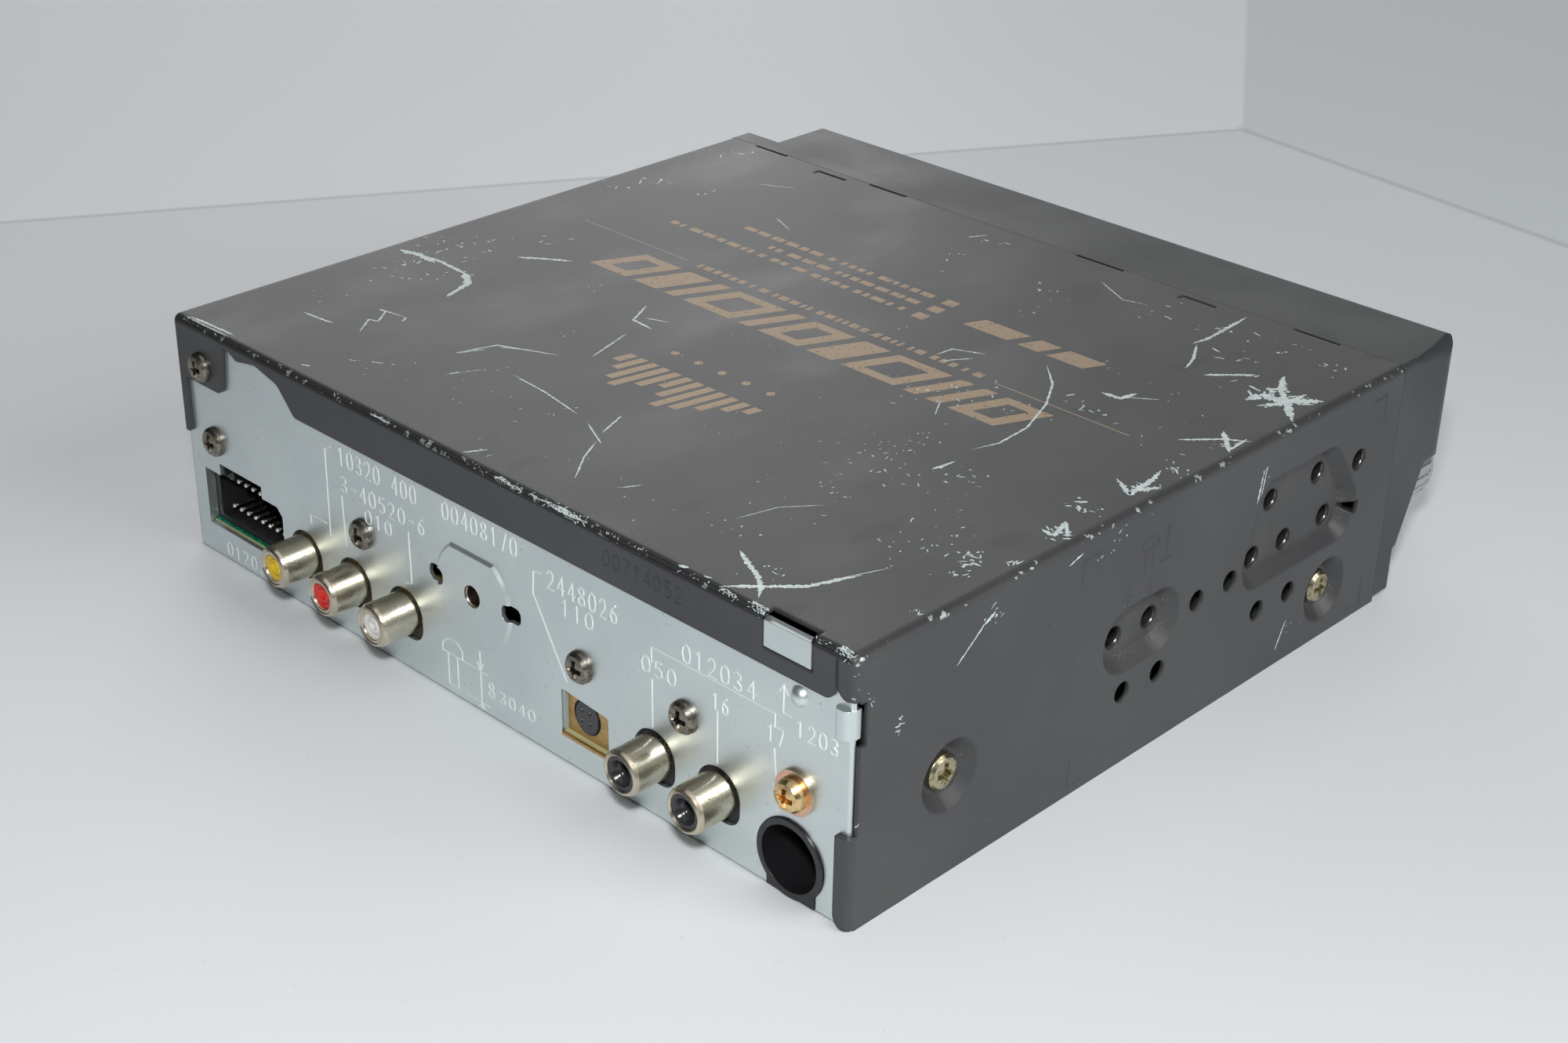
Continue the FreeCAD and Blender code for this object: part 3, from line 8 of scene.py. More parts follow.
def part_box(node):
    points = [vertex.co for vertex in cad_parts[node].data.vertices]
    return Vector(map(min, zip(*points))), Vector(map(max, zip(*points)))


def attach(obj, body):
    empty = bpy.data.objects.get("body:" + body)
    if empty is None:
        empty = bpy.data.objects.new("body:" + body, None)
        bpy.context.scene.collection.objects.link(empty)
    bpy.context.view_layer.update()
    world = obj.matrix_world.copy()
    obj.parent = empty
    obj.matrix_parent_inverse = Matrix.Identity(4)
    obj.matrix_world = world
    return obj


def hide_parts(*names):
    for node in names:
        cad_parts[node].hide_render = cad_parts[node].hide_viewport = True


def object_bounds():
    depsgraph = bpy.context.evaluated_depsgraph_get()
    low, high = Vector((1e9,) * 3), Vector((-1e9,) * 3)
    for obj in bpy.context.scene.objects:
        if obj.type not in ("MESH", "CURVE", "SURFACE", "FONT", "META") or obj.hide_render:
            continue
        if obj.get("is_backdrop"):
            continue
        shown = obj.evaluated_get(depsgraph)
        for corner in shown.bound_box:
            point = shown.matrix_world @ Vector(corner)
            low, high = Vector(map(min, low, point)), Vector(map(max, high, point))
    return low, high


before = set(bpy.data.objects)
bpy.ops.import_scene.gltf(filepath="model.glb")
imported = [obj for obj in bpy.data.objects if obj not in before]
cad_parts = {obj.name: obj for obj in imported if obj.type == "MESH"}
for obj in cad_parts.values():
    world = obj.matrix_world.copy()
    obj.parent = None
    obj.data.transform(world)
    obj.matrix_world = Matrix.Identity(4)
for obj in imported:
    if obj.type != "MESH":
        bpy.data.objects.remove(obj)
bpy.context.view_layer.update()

# The bench: a pale board in a white tent, four soft lamps outside it and a flash on the camera.
# The camera looks down on the rear right corner. Past two faint creases, where the tent's sheets turn up
# behind the player, the board is painted paler on the left and greyer on the right: painted light and painted
# shade for the lit and shaded sheets. The creases are painted as dark lines of shade.
scene = bpy.context.scene
scene.view_settings.view_transform = "Standard"


class Value:
    """A number in a material, on which arithmetic adds Math nodes."""

    def __init__(self, finish, socket):
        self.finish = finish
        self.socket = socket

    def maths(self, operation, *terms):
        return self.finish.node("Math", {"operation": operation}, terms)

    def __add__(self, other):
        return self.maths("ADD", self, other)

    def __sub__(self, other):
        return self.maths("SUBTRACT", self, other)

    def __rsub__(self, other):
        return self.maths("SUBTRACT", other, self)

    def __mul__(self, other):
        return self.maths("MULTIPLY", self, other)

    def __abs__(self):
        return self.maths("ABSOLUTE", self)

    __radd__ = __add__
    __rmul__ = __mul__


class Finish:
    """A material while it is made: its nodes, and what feeds its surface."""

    def __init__(self, name, **sockets):
        self.material = bpy.data.materials.new(name)
        self.material.use_nodes = True
        self.tree = self.material.node_tree
        self.surface = self.tree.nodes["Principled BSDF"]
        self.set(**sockets)

    def node(self, kind, settings, sockets, out=0):
        made = self.tree.nodes.new("ShaderNode" + kind)
        for key, value in settings.items():
            if key != "stops":
                setattr(made, key, value)
                continue
            ramp = made.color_ramp
            while len(ramp.elements) < len(value):
                ramp.elements.new(0.5)
            for element, (spot, colour) in zip(ramp.elements, value):
                element.position = spot
                element.color = (*colour, 1)
        named = sockets.items() if isinstance(sockets, dict) else enumerate(sockets)
        for key, value in named:
            self.feed(made.inputs[key], value)
        return Value(self, made.outputs[out])

    def feed(self, socket, value):
        if isinstance(value, Value):
            self.tree.links.new(value.socket, socket)
        elif socket.type == "RGBA":
            socket.default_value = (*value[:3], 1)
        else:
            socket.default_value = value

    def set(self, **sockets):
        """Base_Color=... and the like, for the surface's own sockets."""
        for key, value in sockets.items():
            self.feed(self.surface.inputs[key.replace("_", " ")], value)

    def spot(self):
        """Where a point is on the player, in millimetres from the middle of its underside."""
        place = self.node("TexCoord", {}, {}, out=3)
        return self.node("VectorMath", {"operation": "SCALE"}, {0: place, "Scale": 1000.0})

    def axes(self):
        split = self.node("SeparateXYZ", {}, [self.spot()])
        return [Value(self, split.socket.node.outputs[k]) for k in range(3)]

    def grain(self, size, detail=2.0, stretch=(1, 1, 1)):
        """Noise from 0 to 1 whose blotches are about size millimetres across."""
        place = self.node("VectorMath", {"operation": "MULTIPLY"}, [self.spot(), stretch])
        return self.node("TexNoise", {}, {"Vector": place, "Scale": 1.0 / size, "Detail": detail})

    def step(self, value, low, high):
        """0 below low, 1 above high, smooth between."""
        sockets = {"Value": value, "From Min": low, "From Max": high}
        return self.node("MapRange", {"interpolation_type": "SMOOTHSTEP"}, sockets)

    def least(self, *values):
        found = values[0]
        for value in values[1:]:
            found = found.maths("MINIMUM", found, value)
        return found

    def mix(self, mask, plain, marked):
        sockets = {0: mask, 6: plain, 7: marked}
        return self.node("Mix", {"data_type": "RGBA"}, sockets, out=2)

    def blend(self, mask, plain, marked):
        return mask * (marked - plain) + plain

    def relief(self, height, depth, edge=None):
        """Bumps of depth millimetres, over edges rounded by edge millimetres."""
        sockets = {"Height": height, "Distance": depth * 0.001, "Strength": 1.0}
        if edge:
            sockets["Normal"] = self.node("Bevel", {"samples": 4}, {"Radius": edge * 0.001})
        self.set(Normal=self.node("Bump", {}, sockets))


board = Finish("pale_board", Roughness=0.55)
x, y, z = board.axes()
tint = board.step(board.grain(160), 0.3, 0.7)
# How far a point lies past the left crease, the right crease and the corner between them
past_left = 0.860 * x - 0.510 * y - 230.4
past_right = -0.140 * x - 0.990 * y - 278.2
past_corner = -0.828 * x - 0.561 * y - 88.1
# Painted light and painted shade: past the creases the board is painted paler on the left and greyer on the
# right, for the tent's lit and shaded sheets.
lit_left_sheet = board.step(past_left, -0.8, 0.8) * board.step(past_corner, 1.0, -1.0)
shaded_right_sheet = board.step(past_right, -0.8, 0.8) * board.step(past_corner, -1.0, 1.0)
colour = board.mix(tint, (0.70, 0.72, 0.745), (0.72, 0.74, 0.76))
specks = board.step(board.grain(1.6, 3), 0.735, 0.76)
colour = board.mix(specks * 0.35, colour, (0.45, 0.45, 0.44))
colour = board.mix(lit_left_sheet, colour, (0.79, 0.83, 0.86))
colour = board.mix(shaded_right_sheet, colour, (0.66, 0.70, 0.73))
# Painted shade: dark lines along the two creases.
left_crease_shade = board.step(abs(past_left), 1.8, 0.2) * board.step(past_corner, 3.0, 0.0)
right_crease_shade = board.step(abs(past_right), 2.2, 0.3) * board.step(past_corner, -3.0, 0.0)
crease_shade = left_crease_shade.maths("MAXIMUM", left_crease_shade, right_crease_shade)
colour = board.mix(crease_shade * 0.45, colour, (0.38, 0.40, 0.42))
board.set(Base_Color=colour)
board.relief(board.grain(0.9, 3), 0.02)


def bench(name, reach, finish):
    mesh = bpy.data.meshes.new(name)
    corners = [(-reach, -reach, 0), (reach, -reach, 0), (reach, reach, 0), (-reach, reach, 0)]
    mesh.from_pydata(corners, [], [range(4)])
    mesh.materials.append(finish.material)
    made = bpy.data.objects.new(name, mesh)
    scene.collection.objects.link(made)
    return made


bench("bench_board", 4, board)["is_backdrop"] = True


def lamp(name, place, width, power, colour=(1, 1, 1)):
    """A square soft lamp that looks at the player."""
    light = bpy.data.lights.new(name, "AREA")
    light.size = width
    light.energy = power
    light.color = colour
    made = bpy.data.objects.new(name, light)
    made.location = place
    made.rotation_mode = "QUATERNION"
    made.rotation_quaternion = (Vector((0, 0, 0.02)) - Vector(place)).to_track_quat("-Z", "Y")
    made.visible_camera = False
    scene.collection.objects.link(made)


lamp("tent_top", (0.0, 0.1, 1.6), 1.4, 4.4, (0.98, 0.99, 1.0))
lamp("tent_left", (1.25, -0.75, 0.47), 1.0, 5.3, (0.99, 0.99, 1.0))
lamp("tent_back", (0.72, -1.2, 0.45), 0.9, 1.8)
lamp("tent_side", (-1.3, -0.35, 0.7), 0.9, 11.0)
lamp("flash", (-0.299, 0.328, 0.355), 0.045, 1.95)
world = bpy.data.worlds.new("tent")
world.use_nodes = True
sky = world.node_tree.nodes["Background"]
sky.inputs["Color"].default_value = (0.83, 0.87, 0.90, 1)
sky.inputs["Strength"].default_value = 0.05
scene.world = world

# The camera's place, turn and lens are fitted to the case's corners.
camera = bpy.data.objects.new("camera", bpy.data.cameras.new("camera"))
camera.data.sensor_width = 36
camera.data.lens = 55.50
camera.data.clip_start = 0.01
heading = Matrix.Rotation(math.radians(223.781), 4, "Z")
tilt = Matrix.Rotation(math.radians(90 - 27.882), 4, "X")
roll = Matrix.Rotation(math.radians(1.062), 4, "Z")
camera.matrix_world = Matrix.Translation((-0.28981, 0.30027, 0.23206)) @ heading @ tilt @ roll
scene.collection.objects.link(camera)
scene.camera = camera


# Cover. A folded sheet of zinc-coated steel, sprayed satin dark grey after it was pressed.
# Years of sliding in and out of dashboards have chipped its folds and left grime in the dimples.
half_wide = 89.0
half_deep = 75.0
tall = 50.0
bend = 1.6


def dress(finish, *names):
    for name in names:
        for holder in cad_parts[name].material_slots:
            holder.material = finish.material


def cover_paint():
    paint = Finish("satin_grey_paint", Specular_IOR_Level=0.45)
    x, y, z = paint.axes()
    cloud = paint.step(paint.grain(38, 3), 0.35, 0.7)
    fine = paint.grain(0.5, 2)
    colour = paint.mix(cloud, (0.045, 0.046, 0.048), (0.054, 0.055, 0.056))
    smudge = paint.step(paint.grain(9, 1, (1, 0.4, 1)), 0.60, 0.68)
    smudge = smudge * paint.step(paint.grain(40, 1), 0.48, 0.56) * paint.step(z, 49.0, 49.6)
    colour = paint.mix(smudge * 0.35, colour, (0.020, 0.021, 0.022))
    dust = paint.step(paint.grain(0.35, 1), 0.66, 0.75) * paint.step(paint.grain(9), 0.42, 0.62)
    colour = paint.mix(dust * 0.2, colour, (0.30, 0.29, 0.27))
    sunk = paint.step(abs(x), 88.2, 87.4) * paint.step(abs(x), 86.2, 86.5) * paint.step(z, 48.6, 48.0)
    sunk = sunk * paint.step(abs(y), 73.4, 72.8)
    grime = sunk * paint.step(paint.grain(0.26, 2), 0.60, 0.66) * paint.step(paint.grain(5), 0.48, 0.66)
    colour = paint.mix(grime * 0.7, colour, (0.26, 0.235, 0.19))
    side_fold = (half_wide - abs(x)) + (tall - z)
    rear_fold = (half_deep - y) + (tall - z)
    corner_fold = (half_deep - y) + (half_wide - abs(x))
    fold = paint.least(side_fold, rear_fold, corner_fold)
    crest = paint.step(fold, 1.25, 0.9)
    # Painted shade: a dark band along the folds' rounded crests, for the dark surroundings that they reflect.
    fold_crest_shade = paint.step(paint.least(rear_fold, side_fold + 0.5), 1.7, 1.2)
    colour = paint.mix(fold_crest_shade * 0.6, colour, (0.014, 0.014, 0.015))
    flaked = paint.step(paint.grain(1.4, 4) + paint.grain(14, 1) * 0.55, 0.90, 0.93)
    worn = crest * flaked
    colour = paint.mix(worn, colour, (0.62, 0.66, 0.65))
    rubbed = paint.step(paint.grain(22, 4, (1, 0.5, 1)), 0.45, 0.75)
    paint.set(Base_Color=colour, Metallic=worn * 0.8)
    paint.set(Roughness=paint.blend(rubbed, 0.44, 0.36) + grime * 0.3)
    paint.relief(fine, 0.008, 0.8)
    return paint


paint = cover_paint()
dress(paint, "top_cover")


def on_case(x, y, z):
    """A point of the case, with y counted from the cover's front edge, in scene metres."""
    return Vector((x, y - half_deep, z)) * 0.001


def on_top(u, v, h):
    return on_case(u, v, tall + h)


def on_side(u, v, h):
    return on_case(-half_wide - h, u, v)


def add_piece(name, points, faces, finish, body="chassis", smooth=False):
    mesh = bpy.data.meshes.new(name)
    mesh.from_pydata(points, [], faces)
    mesh.validate()
    mesh.materials.append(finish.material)
    for face in mesh.polygons:
        face.use_smooth = smooth
    made = bpy.data.objects.new(name, mesh)
    scene.collection.objects.link(made)
    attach(made, body)
    return made


def weave(rows, across, start=0, closed=False):
    """Four-sided faces between rows of points, each row across points long."""
    faces = []
    for row in range(rows - 1):
        a = start + row * across
        for k in range(across if closed else across - 1):
            b = (k + 1) % across
            faces.append([a + k, a + b, a + b + across, a + k + across])
    return faces


def walk(line, pace):
    """Points every pace millimetres along a drawn line, each with its sideways direction."""
    spots = []
    for a, b in zip(line, line[1:]):
        a, b = Vector(a), Vector(b)
        count = max(1, round((b - a).length / pace))
        spots += [a.lerp(b, k / count) for k in range(count)]
    spots.append(Vector(line[-1]))
    found = []
    for k, spot in enumerate(spots):
        ahead = spots[min(k + 1, len(spots) - 1)] - spots[max(k - 1, 0)]
        found.append((spot, Vector((-ahead.y, ahead.x)).normalized()))
    return found


class Marks:
    """Flat flakes and ribbons on one face of the player, gathered into a single piece."""

    def __init__(self, face, lift):
        self.face = face
        self.lift = lift
        self.points = []
        self.faces = []

    def raise_a_little(self):
        """Keeps crossing marks a hair apart, so that neither shades the other."""
        self.lift += 0.00004

    def patch(self, corners):
        self.raise_a_little()
        start = len(self.points)
        self.points += [self.face(u, v, self.lift) for u, v in corners]
        self.faces.append(list(range(start, len(self.points))))

    def ribbon(self, line, width, ragged=0.0, pace=0.35, dice=None):
        """A stroke of the given width; ragged makes its edges wander and its ends thin out."""
        self.raise_a_little()
        spots = walk(line, pace)
        start = len(self.points)
        for k, (spot, across) in enumerate(spots):
            share = k / (len(spots) - 1)
            half = width / 2
            drift = 0.0
            if ragged:
                taper = min(1.0, 5 * share + 0.15, 5 * (1 - share) + 0.15)
                half *= taper * dice.uniform(1 - ragged, 1 + ragged)
                drift = dice.uniform(-0.15, 0.15) * width
            for side in (-1, 1):
                u, v = spot + across * (drift + side * half)
                self.points.append(self.face(u, v, self.lift))
        for k in range(len(spots) - 1):
            a = start + 2 * k
            self.faces.append([a, a + 2, a + 3, a + 1])

    def ribbons(self, strokes, ragged, pace, dice):
        for line, width in strokes:
            self.ribbon(line, width, ragged, pace, dice)

    def flake(self, u, v, size, dice):
        """A chip: a jagged scrap, usually several times longer than wide."""
        turn = dice.uniform(0, math.pi)
        long = dice.choice((1.2, 2.0, 3.5, 5.0))
        corners = []
        count = dice.choice((5, 6, 8))
        for k in range(count):
            a = 2 * math.pi * k / count + dice.uniform(-0.25, 0.25)
            r = size * dice.uniform(0.4, 1.3)
            s = r * long ** 0.75 * math.cos(a)
            t = 1.4 * r / long ** 0.5 * math.sin(a)
            across = s * math.cos(turn) - t * math.sin(turn)
            along = s * math.sin(turn) + t * math.cos(turn)
            corners.append((u + across, v + along))
        self.patch(corners)

    def finish_as(self, name, finish):
        add_piece(name, self.points, self.faces, finish)


# Bare metal where the cover's paint is scratched through. Long single scratches come from sharp
# edges, short bars and flakes from screws and brackets that were dragged over the top.
def bare_zinc():
    bare = Finish("bared_zinc", Metallic=0.25)
    tone = bare.step(bare.grain(1.2, 3), 0.35, 0.65)
    bare.set(Base_Color=bare.mix(tone, (0.52, 0.60, 0.59), (0.66, 0.74, 0.73)))
    bare.set(Roughness=0.5 + tone * 0.15)
    bare.relief(bare.grain(0.25, 2), 0.01)
    return bare


bare = bare_zinc()
dice = random.Random(31)
scratches = Marks(on_top, 0.012)
long_scratches = [
    ([(-42.2, 47.7), (-48.4, 53.7), (-52.9, 61.1), (-56.7, 71.2), (-57.3, 79.4), (-55.7, 84.7)], 0.42),
    ([(-56.6, 90.3), (-56.4, 93), (-55.8, 95.4)], 0.5),
    ([(-25.1, 58.9), (-25.5, 54.9), (-31.5, 52.2)], 0.35), ([(-27.6, 60.4), (-31, 55.4)], 0.3),
    ([(-59.7, 149.2), (-62.7, 146), (-66.7, 142), (-69.1, 139.4), (-70.8, 135), (-72.5, 131)], 0.85),
    ([(-53.7, 138.8), (-57.5, 140.8), (-61.8, 142.8), (-64.1, 144.6), (-66.2, 147.3)], 0.85),
    ([(-50.3, 149), (-52.2, 148.5)], 0.6), ([(-55.6, 148.6), (-57.1, 148.2)], 0.4),
    ([(85, 148.6), (81, 148.1), (76.7, 147.9), (71.4, 147.6)], 0.5),
    ([(71.7, 131.7), (67.5, 131.4), (63.4, 130.8)], 0.4), ([(52.1, 146.4), (50.2, 145.6)], 0.35),
    ([(56.8, 129.7), (60.3, 124.9), (58.3, 124.2), (61.3, 120.1), (56.1, 119.2)], 0.38),
    ([(61.3, 120.1), (62.9, 120.5)], 0.4), ([(56.1, 119.2), (55.2, 120.9)], 0.35),
    ([(44.3, 136.6), (42.1, 135.3)], 0.28), ([(40.8, 134.6), (40.3, 134.1)], 0.4),
    ([(47.9, 138.9), (46.4, 138.2)], 0.18), ([(36.6, 122.8), (35.5, 120.6), (34.2, 117.8)], 0.3),
    ([(30.2, 129.5), (29.6, 127.8)], 0.4), ([(30.6, 130.6), (28.6, 126.2), (27.3, 123.4)], 0.12),
    ([(3.7, 148.1), (3, 147.1), (1.7, 144.9)], 0.4), ([(-24.6, 137.8), (-26.4, 134.6)], 0.3),
    ([(-45.6, 131.8), (-47.6, 124), (-52.4, 117.8)], 0.16),
    ([(36.8, 122.9), (34.2, 115), (22.9, 109.9)], 0.35), ([(33.5, 115.4), (28, 112)], 0.3),
    ([(21.9, 121.5), (12.4, 122.2), (1.5, 124.1)], 0.32), ([(-2.6, 125.3), (-10.2, 129)], 0.28),
    ([(-7.1, 126), (-4.3, 118.9)], 0.35), ([(-9.1, 129.3), (-12, 134.5), (-16.9, 140.9)], 0.35),
    ([(-76.6, 33.9), (-77.8, 30.3), (-82.1, 29.2), (-86.8, 24.3)], 2),
    ([(-75.7, 20.2), (-79, 26), (-81.7, 28.6), (-87.6, 35.4)], 1.3),
    ([(-79.5, 34.5), (-82.5, 30), (-83, 24)], 1.1), ([(84.9, 98.5), (79.9, 97.4), (74.4, 97.8)], 1.3),
    ([(79.9, 97.4), (74, 96.6), (65.2, 97.2)], 0.8), ([(66, 97), (61.2, 100.1), (60.2, 103.6)], 1.5),
    ([(60.6, 102), (59, 107.1)], 0.7), ([(65.3, 83.9), (61, 80.6), (56.1, 77.3)], 0.8),
    ([(28.9, 82.2), (25.6, 88.7), (19.8, 89.2)], 0.5), ([(24.6, 86.4), (20, 84.6)], 0.35),
    ([(21.7, 93.9), (18.1, 105.9)], 0.28), ([(-54.9, 2), (-55.8, 16.2), (-55.2, 20)], 0.7),
    ([(-56.1, 20.1), (-59.5, 25.9), (-61, 30.5)], 0.5), ([(-65, 30.4), (-71.7, 23.4)], 0.7),
    ([(-56.7, 50), (-60.6, 49.8), (-61.5, 45.9)], 0.9), ([(-59.6, 49.6), (-66, 45)], 0.25),
    ([(-79.7, 75.6), (-84.6, 78.8), (-84.2, 71.8), (-83, 67.9)], 1), ([(-84.4, 77), (-86.9, 73)], 0.9),
    ([(-81.4, 47.6), (-87, 53.6)], 0.8), ([(-86.6, 53), (-86.1, 47.2)], 0.5),
    ([(-78, 56), (-83, 50.5), (-87.2, 47.5)], 0.6), ([(-82.3, 99), (-85.1, 99.1), (-83.4, 94)], 0.8),
    ([(-83.4, 94), (-86.9, 98)], 0.6), ([(-81.6, 85.9), (-80, 87.6)], 0.7),
    ([(-70, 136), (-74, 126)], 0.18), ([(-38.8, 73.5), (-42.2, 79)], 0.22),
    ([(-24, 8), (-33, 12.5), (-38, 11)], 0.25), ([(7.8, 5), (10, 9)], 0.35), ([(62, 18), (55, 14)], 0.3),
    ([(45, 30), (38, 33)], 0.25),
]
scratches.ribbons(long_scratches, 0.45, 0.3, dice)
# Middle, spread, count and size of each crowd of flakes
crowds = [
    (79, 34, 5, 9, 0.55), (66, 30, 3, 4, 0.4), (82, 8, 3, 9, 0.5), (84, 42, 3, 8, 0.4),
    (76, 120, 8, 8, 0.2), (83, 92, 4, 12, 0.35), (78, 99, 4, 16, 0.4), (75, 106, 5, 12, 0.28),
    (68, 96, 5, 12, 0.3), (76, 84, 6, 12, 0.3), (68, 73, 4, 7, 0.35), (43, 83, 3, 3, 0.3),
    (29, 102, 3, 4, 0.25), (31, 131, 7, 12, 0.15), (22, 128, 7, 10, 0.15), (41, 138, 8, 12, 0.12),
    (7, 127, 8, 16, 0.18), (-12, 56, 5, 6, 0.2), (-31, 73, 5, 10, 0.22), (-40, 70, 6, 16, 0.25),
    (-50, 67, 4, 14, 0.18), (-45, 95, 6, 14, 0.25), (-52, 100, 5, 14, 0.25), (-47, 87, 6, 16, 0.22),
    (-61, 94, 5, 16, 0.28), (-46, 103, 5, 10, 0.2), (-49, 112, 6, 12, 0.2), (-50, 120, 8, 12, 0.18),
    (-70, 120, 7, 12, 0.25), (-74, 113, 5, 12, 0.3), (-58, 57, 4, 9, 0.4), (-52, 40, 5, 5, 0.2),
    (-41, 15, 5, 7, 0.35), (-42, 3, 4, 5, 0.3), (-20, 19, 5, 7, 0.35), (-24, 31, 3, 5, 0.4),
    (5, 5, 5, 5, 0.35), (3, 20, 6, 6, 0.3), (-56, 11, 5, 9, 0.4), (-66, 20, 6, 10, 0.4),
    (-68, 8, 5, 8, 0.35), (-80, 11, 4, 7, 0.3), (-80, 28, 4.5, 26, 0.6), (-85, 52, 3, 18, 0.4),
    (-85, 66, 2.5, 14, 0.4), (-86, 75, 2, 14, 0.45), (-83, 88, 3, 14, 0.35), (-85, 98, 2.5, 14, 0.4),
    (-81, 115, 3, 18, 0.45), (-86.5, 111, 1.5, 10, 0.4), (-82, 120, 3, 10, 0.3),
    (-86.5, 133, 1.5, 12, 0.25), (-31, 138, 8, 10, 0.15), (-46, 134, 6, 10, 0.2), (-15, 138, 7, 9, 0.15),
    (2, 146, 3, 8, 0.25), (-72, 60, 9, 8, 0.2), (-30, 100, 14, 14, 0.14), (-66, 105, 10, 12, 0.16),
    (0, 75, 40, 20, 0.12), (-70, 40, 9, 10, 0.2), (-62, 139, 3, 9, 0.3),
]
for u, v, spread, count, size in crowds:
    for _ in range(count):
        a = dice.gauss(u, spread * 0.55)
        b = dice.gauss(v, spread * 0.55)
        if abs(a) < half_wide - 1.8 and 3.5 < b < 2 * half_deep - 1.8:
            scratches.flake(a, b, size * dice.uniform(0.25, 1.0), dice)
scratches.finish_as("cover_top_scratches", bare)


# The cover's rear fold. Its crest is painted as a thin black line, painted shade standing in for the dark
# reflection along the rounded fold; handling has rubbed short runs of chips out of it down to the zinc.
def on_fold(u, v, h):
    """v is how far round the fold a point is, from the top's edge."""
    turn = v / bend
    out = (bend + h) * math.sin(turn)
    up = (bend + h) * math.cos(turn)
    return on_case(u, 2 * half_deep - bend + out, tall - bend + up)


# Painted shade: a near-black strip laid over the fold's crest.
crest_shade = Finish("fold_crest_shade_paint", Specular_IOR_Level=0.12, Roughness=0.5)
crest_shade.set(Base_Color=crest_shade.mix(crest_shade.grain(3, 3), (0.010, 0.010, 0.011), (0.016, 0.016, 0.017)))
points, faces = [], []
for u0, u1 in ((87.6, -70.2), (-79.9, -87.4)):
    start = len(points)
    count = round((u0 - u1) / 0.8)
    for k in range(count + 1):
        u = u0 + (u1 - u0) * k / count
        for v in (0.35 + dice.uniform(-0.05, 0.1), 0.9, 1.6, 2.15 + dice.uniform(-0.1, 0.05)):
            points.append(on_fold(u, v, 0.006))
    faces += weave(count + 1, 4, start)
add_piece("rear_fold_crest_shade", points, faces, crest_shade, smooth=True)
chips = Marks(on_fold, 0.014)
fold_scratches = [
    ([(-18.8, 1), (-21.5, 1.15), (-24.5, 1.1), (-28.4, 1.15)], 0.5),
    ([(-20.5, 1.35), (-24, 1.4), (-27.6, 1.35)], 0.28), ([(-22, 0.8), (-25.6, 0.85)], 0.2),
    ([(-15.2, 1.05), (-17, 1.2), (-19.2, 1.15)], 0.22),
    ([(-6.4, 1.1), (-8, 1.1), (-10.4, 1.25), (-13.6, 1.3)], 0.42), ([(-7.4, 0.8), (-9.2, 0.85)], 0.2),
    ([(27.4, 1.3), (25.2, 1.15), (23.6, 1.3)], 0.22), ([(24.4, 1.2), (21.8, 1.25)], 0.4),
    ([(-60, 0.7), (-63.6, 0.95)], 0.4), ([(-66.4, 0.3), (-67.6, 0.4), (-69.9, 1.5)], 0.5),
    ([(-67.2, 0.3), (-70.2, 0.5)], 0.35), ([(-84.6, 0.7), (-88, 1.1)], 0.45),
    ([(-85, 0.2), (-87.6, 0.5)], 0.4), ([(86, 0.5), (78, 0.4), (71.6, 0.3)], 0.3),
]
chips.ribbons(fold_scratches, 0.75, 0.16, dice)
# From, to, spread and count of each run of small chips beside them
rubbed = [
    (27.4, 21.8, 0.3, 12), (38, 35.8, 0.25, 7), (47.2, 46, 0.2, 3), (11.4, 10.8, 0.2, 3),
    (2.2, -5.2, 0.3, 12), (-6.4, -13.6, 0.4, 26), (-15.2, -19, 0.3, 12), (-18.8, -29.4, 0.45, 50),
    (-33.9, -36.6, 0.2, 5), (-40.6, -44.2, 0.3, 5), (-50, -58, 0.3, 8), (-59.8, -64, 0.3, 12),
    (-66, -70.3, 0.6, 14), (-79.6, -83, 0.4, 9), (-84.4, -88.2, 0.6, 22), (86, 72, 0.1, 10),
    (62, 50, 0.2, 4),
]
for first, last, spread, count in rubbed:
    for k in range(count):
        u = first + (last - first) * (k + dice.random()) / count
        v = dice.gauss(1.1, spread * 0.8)
        if 0.05 < v < 2.3:
            chips.flake(u, v, dice.uniform(0.04, 0.13) * (1 + spread), dice)
chips.finish_as("rear_fold_chips", bare)

# The cover's side is less worn: a few knocks under its upper fold, and flakes round the dimples.
side_marks = Marks(on_side, 0.012)
side_scratches = [
    ([(119.8, 44.5), (123.3, 41.7), (126.8, 39)], 0.3), ([(118, 45.2), (120.4, 43.8)], 0.5),
    ([(31.2, 8.6), (33.9, 3)], 0.3), ([(45, 43.6), (45.9, 38)], 0.35), ([(44.1, 44), (44.9, 39)], 0.25),
    ([(96.2, 47.2), (99.8, 46.2)], 0.3),
]
side_marks.ribbons(side_scratches, 0.5, 0.3, dice)
side_crowds = [
    (139.3, 34, 1.3, 13, 0.28), (118, 45.2, 2, 9, 0.25), (88, 46, 4, 9, 0.2), (146.5, 42, 1.5, 5, 0.2),
    (95, 28, 30, 16, 0.09), (30, 5, 4, 5, 0.15), (44.5, 44, 1.2, 6, 0.3), (148.6, 20, 0.4, 6, 0.15),
]
for u, v, spread, count, size in side_crowds:
    for _ in range(count):
        a = dice.gauss(u, spread * 0.6)
        b = min(tall - 1.8, dice.gauss(v, spread * 0.6))
        if b > 0.6:
            side_marks.flake(a, b, size * dice.uniform(0.3, 1.0), dice)
side_marks.finish_as("cover_side_scratches", bare)


